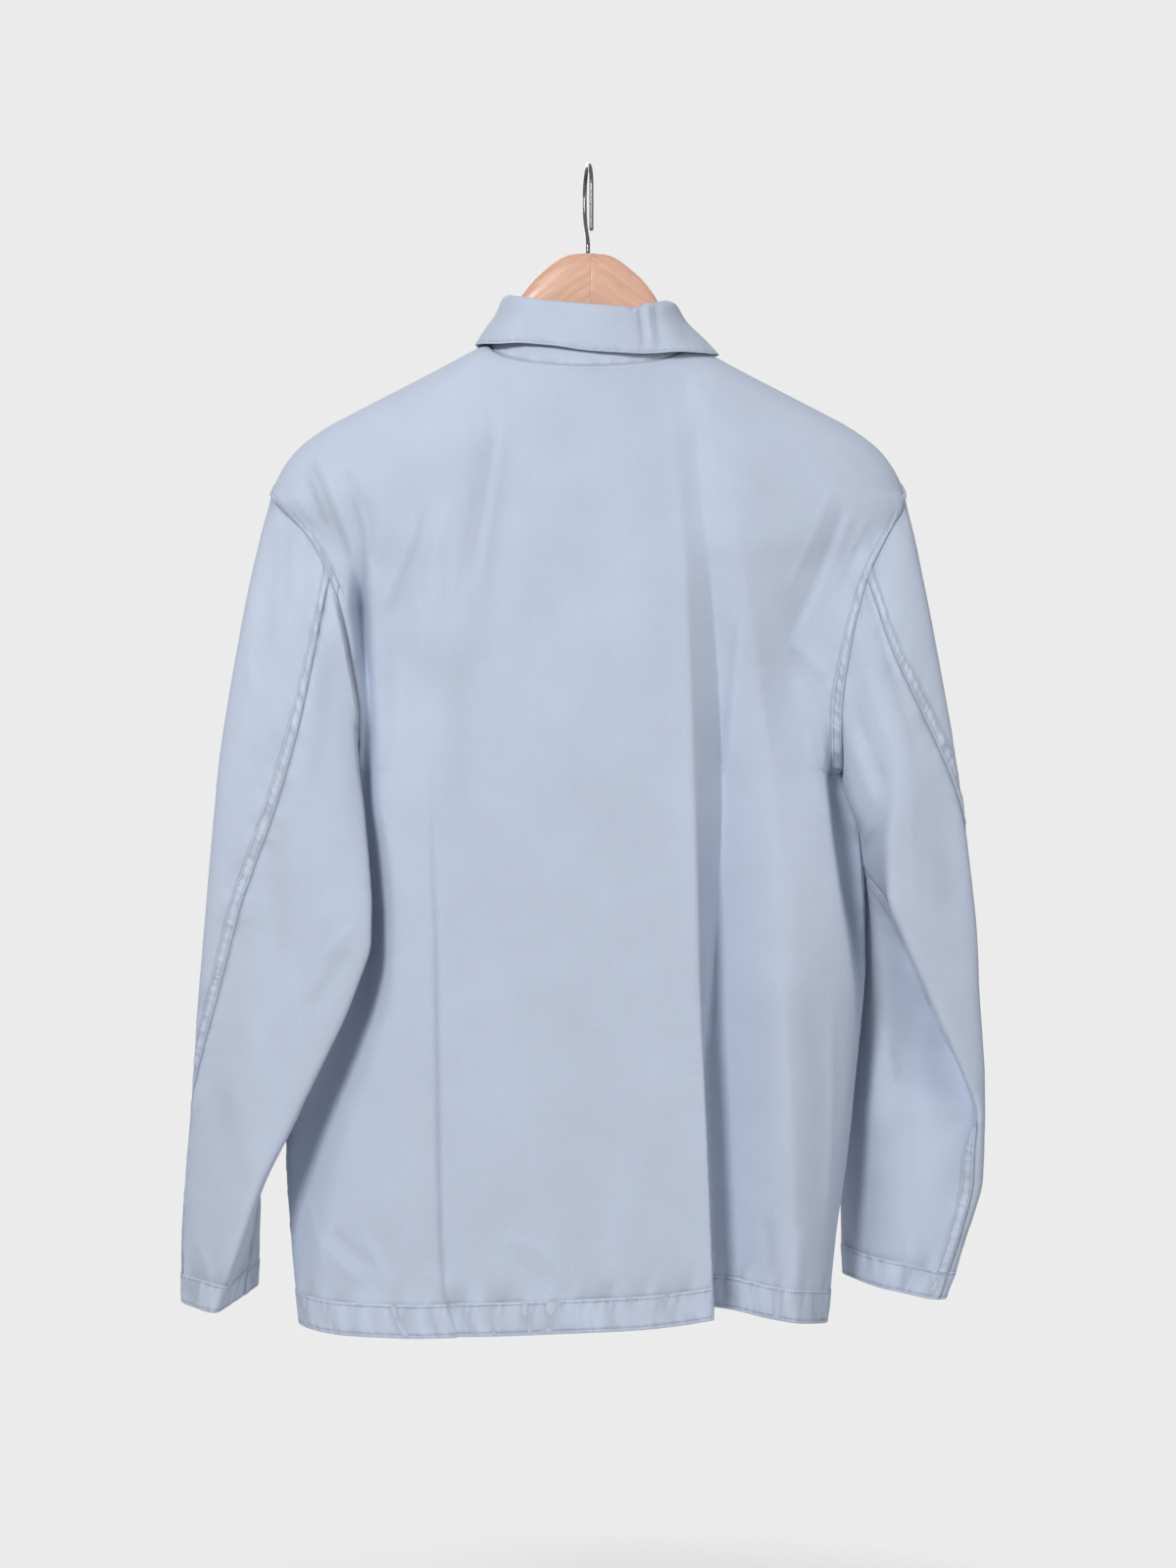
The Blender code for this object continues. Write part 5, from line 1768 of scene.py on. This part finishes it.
class SHIRT_OT_hook(bpy.types.Operator):
    """Bent wire hook with a rounded tip"""

    bl_idname = "shirt.hook"
    bl_label = "Hook"

    def execute(self, context):
        trim = context.scene.shirt_trim
        _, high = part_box("hook")
        wire = high.z * 1000 / 2
        r = HOOK_IN + wire
        path = np.array([*HOOK_STEM, (r, -HOOK_IN)], float)
        at = arc_length(path) / arc_length(path)[-1]
        stem = smooth_rows(at, path, np.linspace(0, 1, STEM_RINGS))
        turn = np.radians(np.linspace(0, 180, BEND_RINGS + 1))
        bend = np.stack([r * np.cos(turn), -HOOK_IN + r * np.sin(turn)], axis=-1)[1:]
        down = np.linspace(-HOOK_IN - 1.5, HOOK_TIP_Z, TAIL_RINGS)
        path = np.vstack([stem, bend, np.column_stack([np.full(TAIL_RINGS, -r), down])])
        ahead = unit(np.gradient(path, axis=0))
        cap = np.radians(np.linspace(15, 85, TIP_RINGS))
        tips = path[-1] - np.column_stack([0 * cap, np.sin(cap) * 1.2])
        size = wire * np.concatenate([np.ones(len(path)), np.cos(cap)])[:, None]
        path = np.vstack([path, tips])
        ahead = np.vstack([ahead, np.tile([0, -1.0], (TIP_RINGS, 1))])
        swing = np.radians(HOOK_TURN)
        around = np.arange(trim.wire_sides) * 2 * np.pi / trim.wire_sides
        side, lift = np.cos(around) * size, np.sin(around) * size
        y, z = path[:, :1] - lift * ahead[:, 1:], path[:, 1:] + lift * ahead[:, :1]
        rings = np.stack([
            side * np.cos(swing) - y * np.sin(swing), side * np.sin(swing) + y * np.cos(swing), z
        ], axis=-1)
        piece = tube_mesh("hook_wire", rings, steel_material("drawn_steel", trim.steel))
        settle(piece, "steel", "hook")
        return {"FINISHED"}


CAMERA_AWAY = 2.0
CAMERA_Z = -0.4838
CAMERA_LENS = 58.5
FLOOR_Z = -1300.0
FLOOR_RINGS = (20.0, 300.0, 500.0, 700.0, 900.0)
DOME_R = 9000.0
LIT = (0.0, 0.0, -0.5)  # m, where the lights point
LIGHTS = (             # name, place and size in metres
    ("key", (-1.15, -2.6, 0.9), 0.8), ("fill", (1.9, -2.3, 0.1), 1.6),
    ("rear", (-0.6, 2.6, 0.8), 2.0),
)


def area_light(name, place, size, power):
    """Round soft light."""
    data = bpy.data.lights.new(name, "AREA")
    data.shape = "DISK"
    data.size = size
    data.energy = power
    lamp = bpy.data.objects.new(name, data)
    bpy.context.scene.collection.objects.link(lamp)
    lamp.location = place
    lamp.rotation_mode = "QUATERNION"
    lamp.rotation_quaternion = (Vector(LIT) - Vector(place)).to_track_quat("-Z", "Y")


def floor_piece(colour):
    """Pale round floor that fades out."""
    around = 96
    points = np.vstack([circle(around, r, FLOOR_Z) for r in FLOOR_RINGS])
    middle = [(0, i + 2, i + 1, i) for i in range(1, around - 2, 2)]
    faces = np.vstack([ring_faces(len(FLOOR_RINGS), around), middle])
    made = Nodes("pale_floor")
    made.set(Base_Color=(*colour, 1.0), Roughness=0.9)
    flat = made.mapped(made.place(), Scale=(1, 1, 0))
    away = made.add("VectorMath", operation="LENGTH")
    made.feed(away.inputs[0], flat)
    made.surface(Alpha=made.span(away.outputs["Value"], 0.35, 0.8, 1.0, 0.0))
    return mesh_piece("floor", points, faces, made.material)


def dome_piece(colour):
    """Large pale room round everything, seen but giving no light of its own."""
    up = np.radians(np.linspace(-89, 89, 33))
    rings = [circle(64, DOME_R * np.cos(a), DOME_R * np.sin(a)) for a in up]
    made = Nodes("pale_wall")
    made.set(Base_Color=(0, 0, 0, 1), Specular_IOR_Level=0.0, Emission_Strength=1.0)
    made.set(Emission_Color=(*colour, 1.0))
    dome = tube_mesh("dome", rings, made.material)
    dome.visible_diffuse = False
    dome.visible_shadow = False
    dome.visible_transmission = False
    return dome


class SHIRT_OT_stage(bpy.types.Operator):
    """Pale floor that fades out, soft light and the camera"""

    bl_idname = "shirt.stage"
    bl_label = "Stage"

    def execute(self, context):
        stage = context.scene.shirt_stage
        scene = context.scene
        floor_piece(stage.backdrop)
        dome_piece(stage.backdrop)
        world = bpy.data.worlds.new("pale_room")
        world.use_nodes = True
        sky = world.node_tree.nodes["Background"]
        sky.inputs["Color"].default_value = (1.0, 1.0, 1.0, 1.0)
        sky.inputs["Strength"].default_value = stage.sky
        scene.world = world
        for name, place, size in LIGHTS:
            area_light(name, place, size, getattr(stage, name))
        data = bpy.data.cameras.new("camera")
        data.lens = CAMERA_LENS
        data.sensor_width = 36.0
        camera = bpy.data.objects.new("camera", data)
        scene.collection.objects.link(camera)
        camera.location = (0.0, -CAMERA_AWAY, CAMERA_Z)
        camera.rotation_euler = (np.pi / 2, 0.0, 0.0)
        scene.camera = camera
        scene.view_settings.view_transform = "Standard"
        return {"FINISHED"}


class SHIRT_PT_panel(bpy.types.Panel):
    """Sizes, colours and pieces of the shirt"""

    bl_idname = "SHIRT_PT_panel"
    bl_label = "Chef shirt"
    bl_space_type = "VIEW_3D"
    bl_region_type = "UI"
    bl_category = "Shirt"

    def draw(self, context):
        layout = self.layout
        for group in ("shirt_cloth", "shirt_trim", "shirt_stage"):
            settings = getattr(context.scene, group)
            box = layout.box()
            for name in settings.bl_rna.properties.keys():
                if name not in ("rna_type", "name"):
                    box.prop(settings, name)
        for operator in OPERATORS:
            layout.operator(operator.bl_idname)


OPERATORS = (
    SHIRT_OT_body, SHIRT_OT_sleeves, SHIRT_OT_collar, SHIRT_OT_buttons, SHIRT_OT_hanger,
    SHIRT_OT_hook, SHIRT_OT_stage,
)
GROUPS = {"shirt_cloth": ShirtCloth, "shirt_trim": ShirtTrim, "shirt_stage": ShirtStage}


def register():
    for group in GROUPS.values():
        bpy.utils.register_class(group)
    for name, group in GROUPS.items():
        setattr(bpy.types.Scene, name, PointerProperty(type=group))
    for operator in OPERATORS:
        bpy.utils.register_class(operator)
    bpy.utils.register_class(SHIRT_PT_panel)


def unregister():
    bpy.utils.unregister_class(SHIRT_PT_panel)
    for operator in reversed(OPERATORS):
        bpy.utils.unregister_class(operator)
    for name, group in GROUPS.items():
        delattr(bpy.types.Scene, name)
        bpy.utils.unregister_class(group)


def main():
    """Run every operator in order."""
    register()
    for operator in OPERATORS:
        group, name = operator.bl_idname.split(".")
        if getattr(getattr(bpy.ops, group), name)() != {"FINISHED"}:
            raise RuntimeError(operator.bl_idname + " didn't finish")


if __name__ == "__main__":
    main()
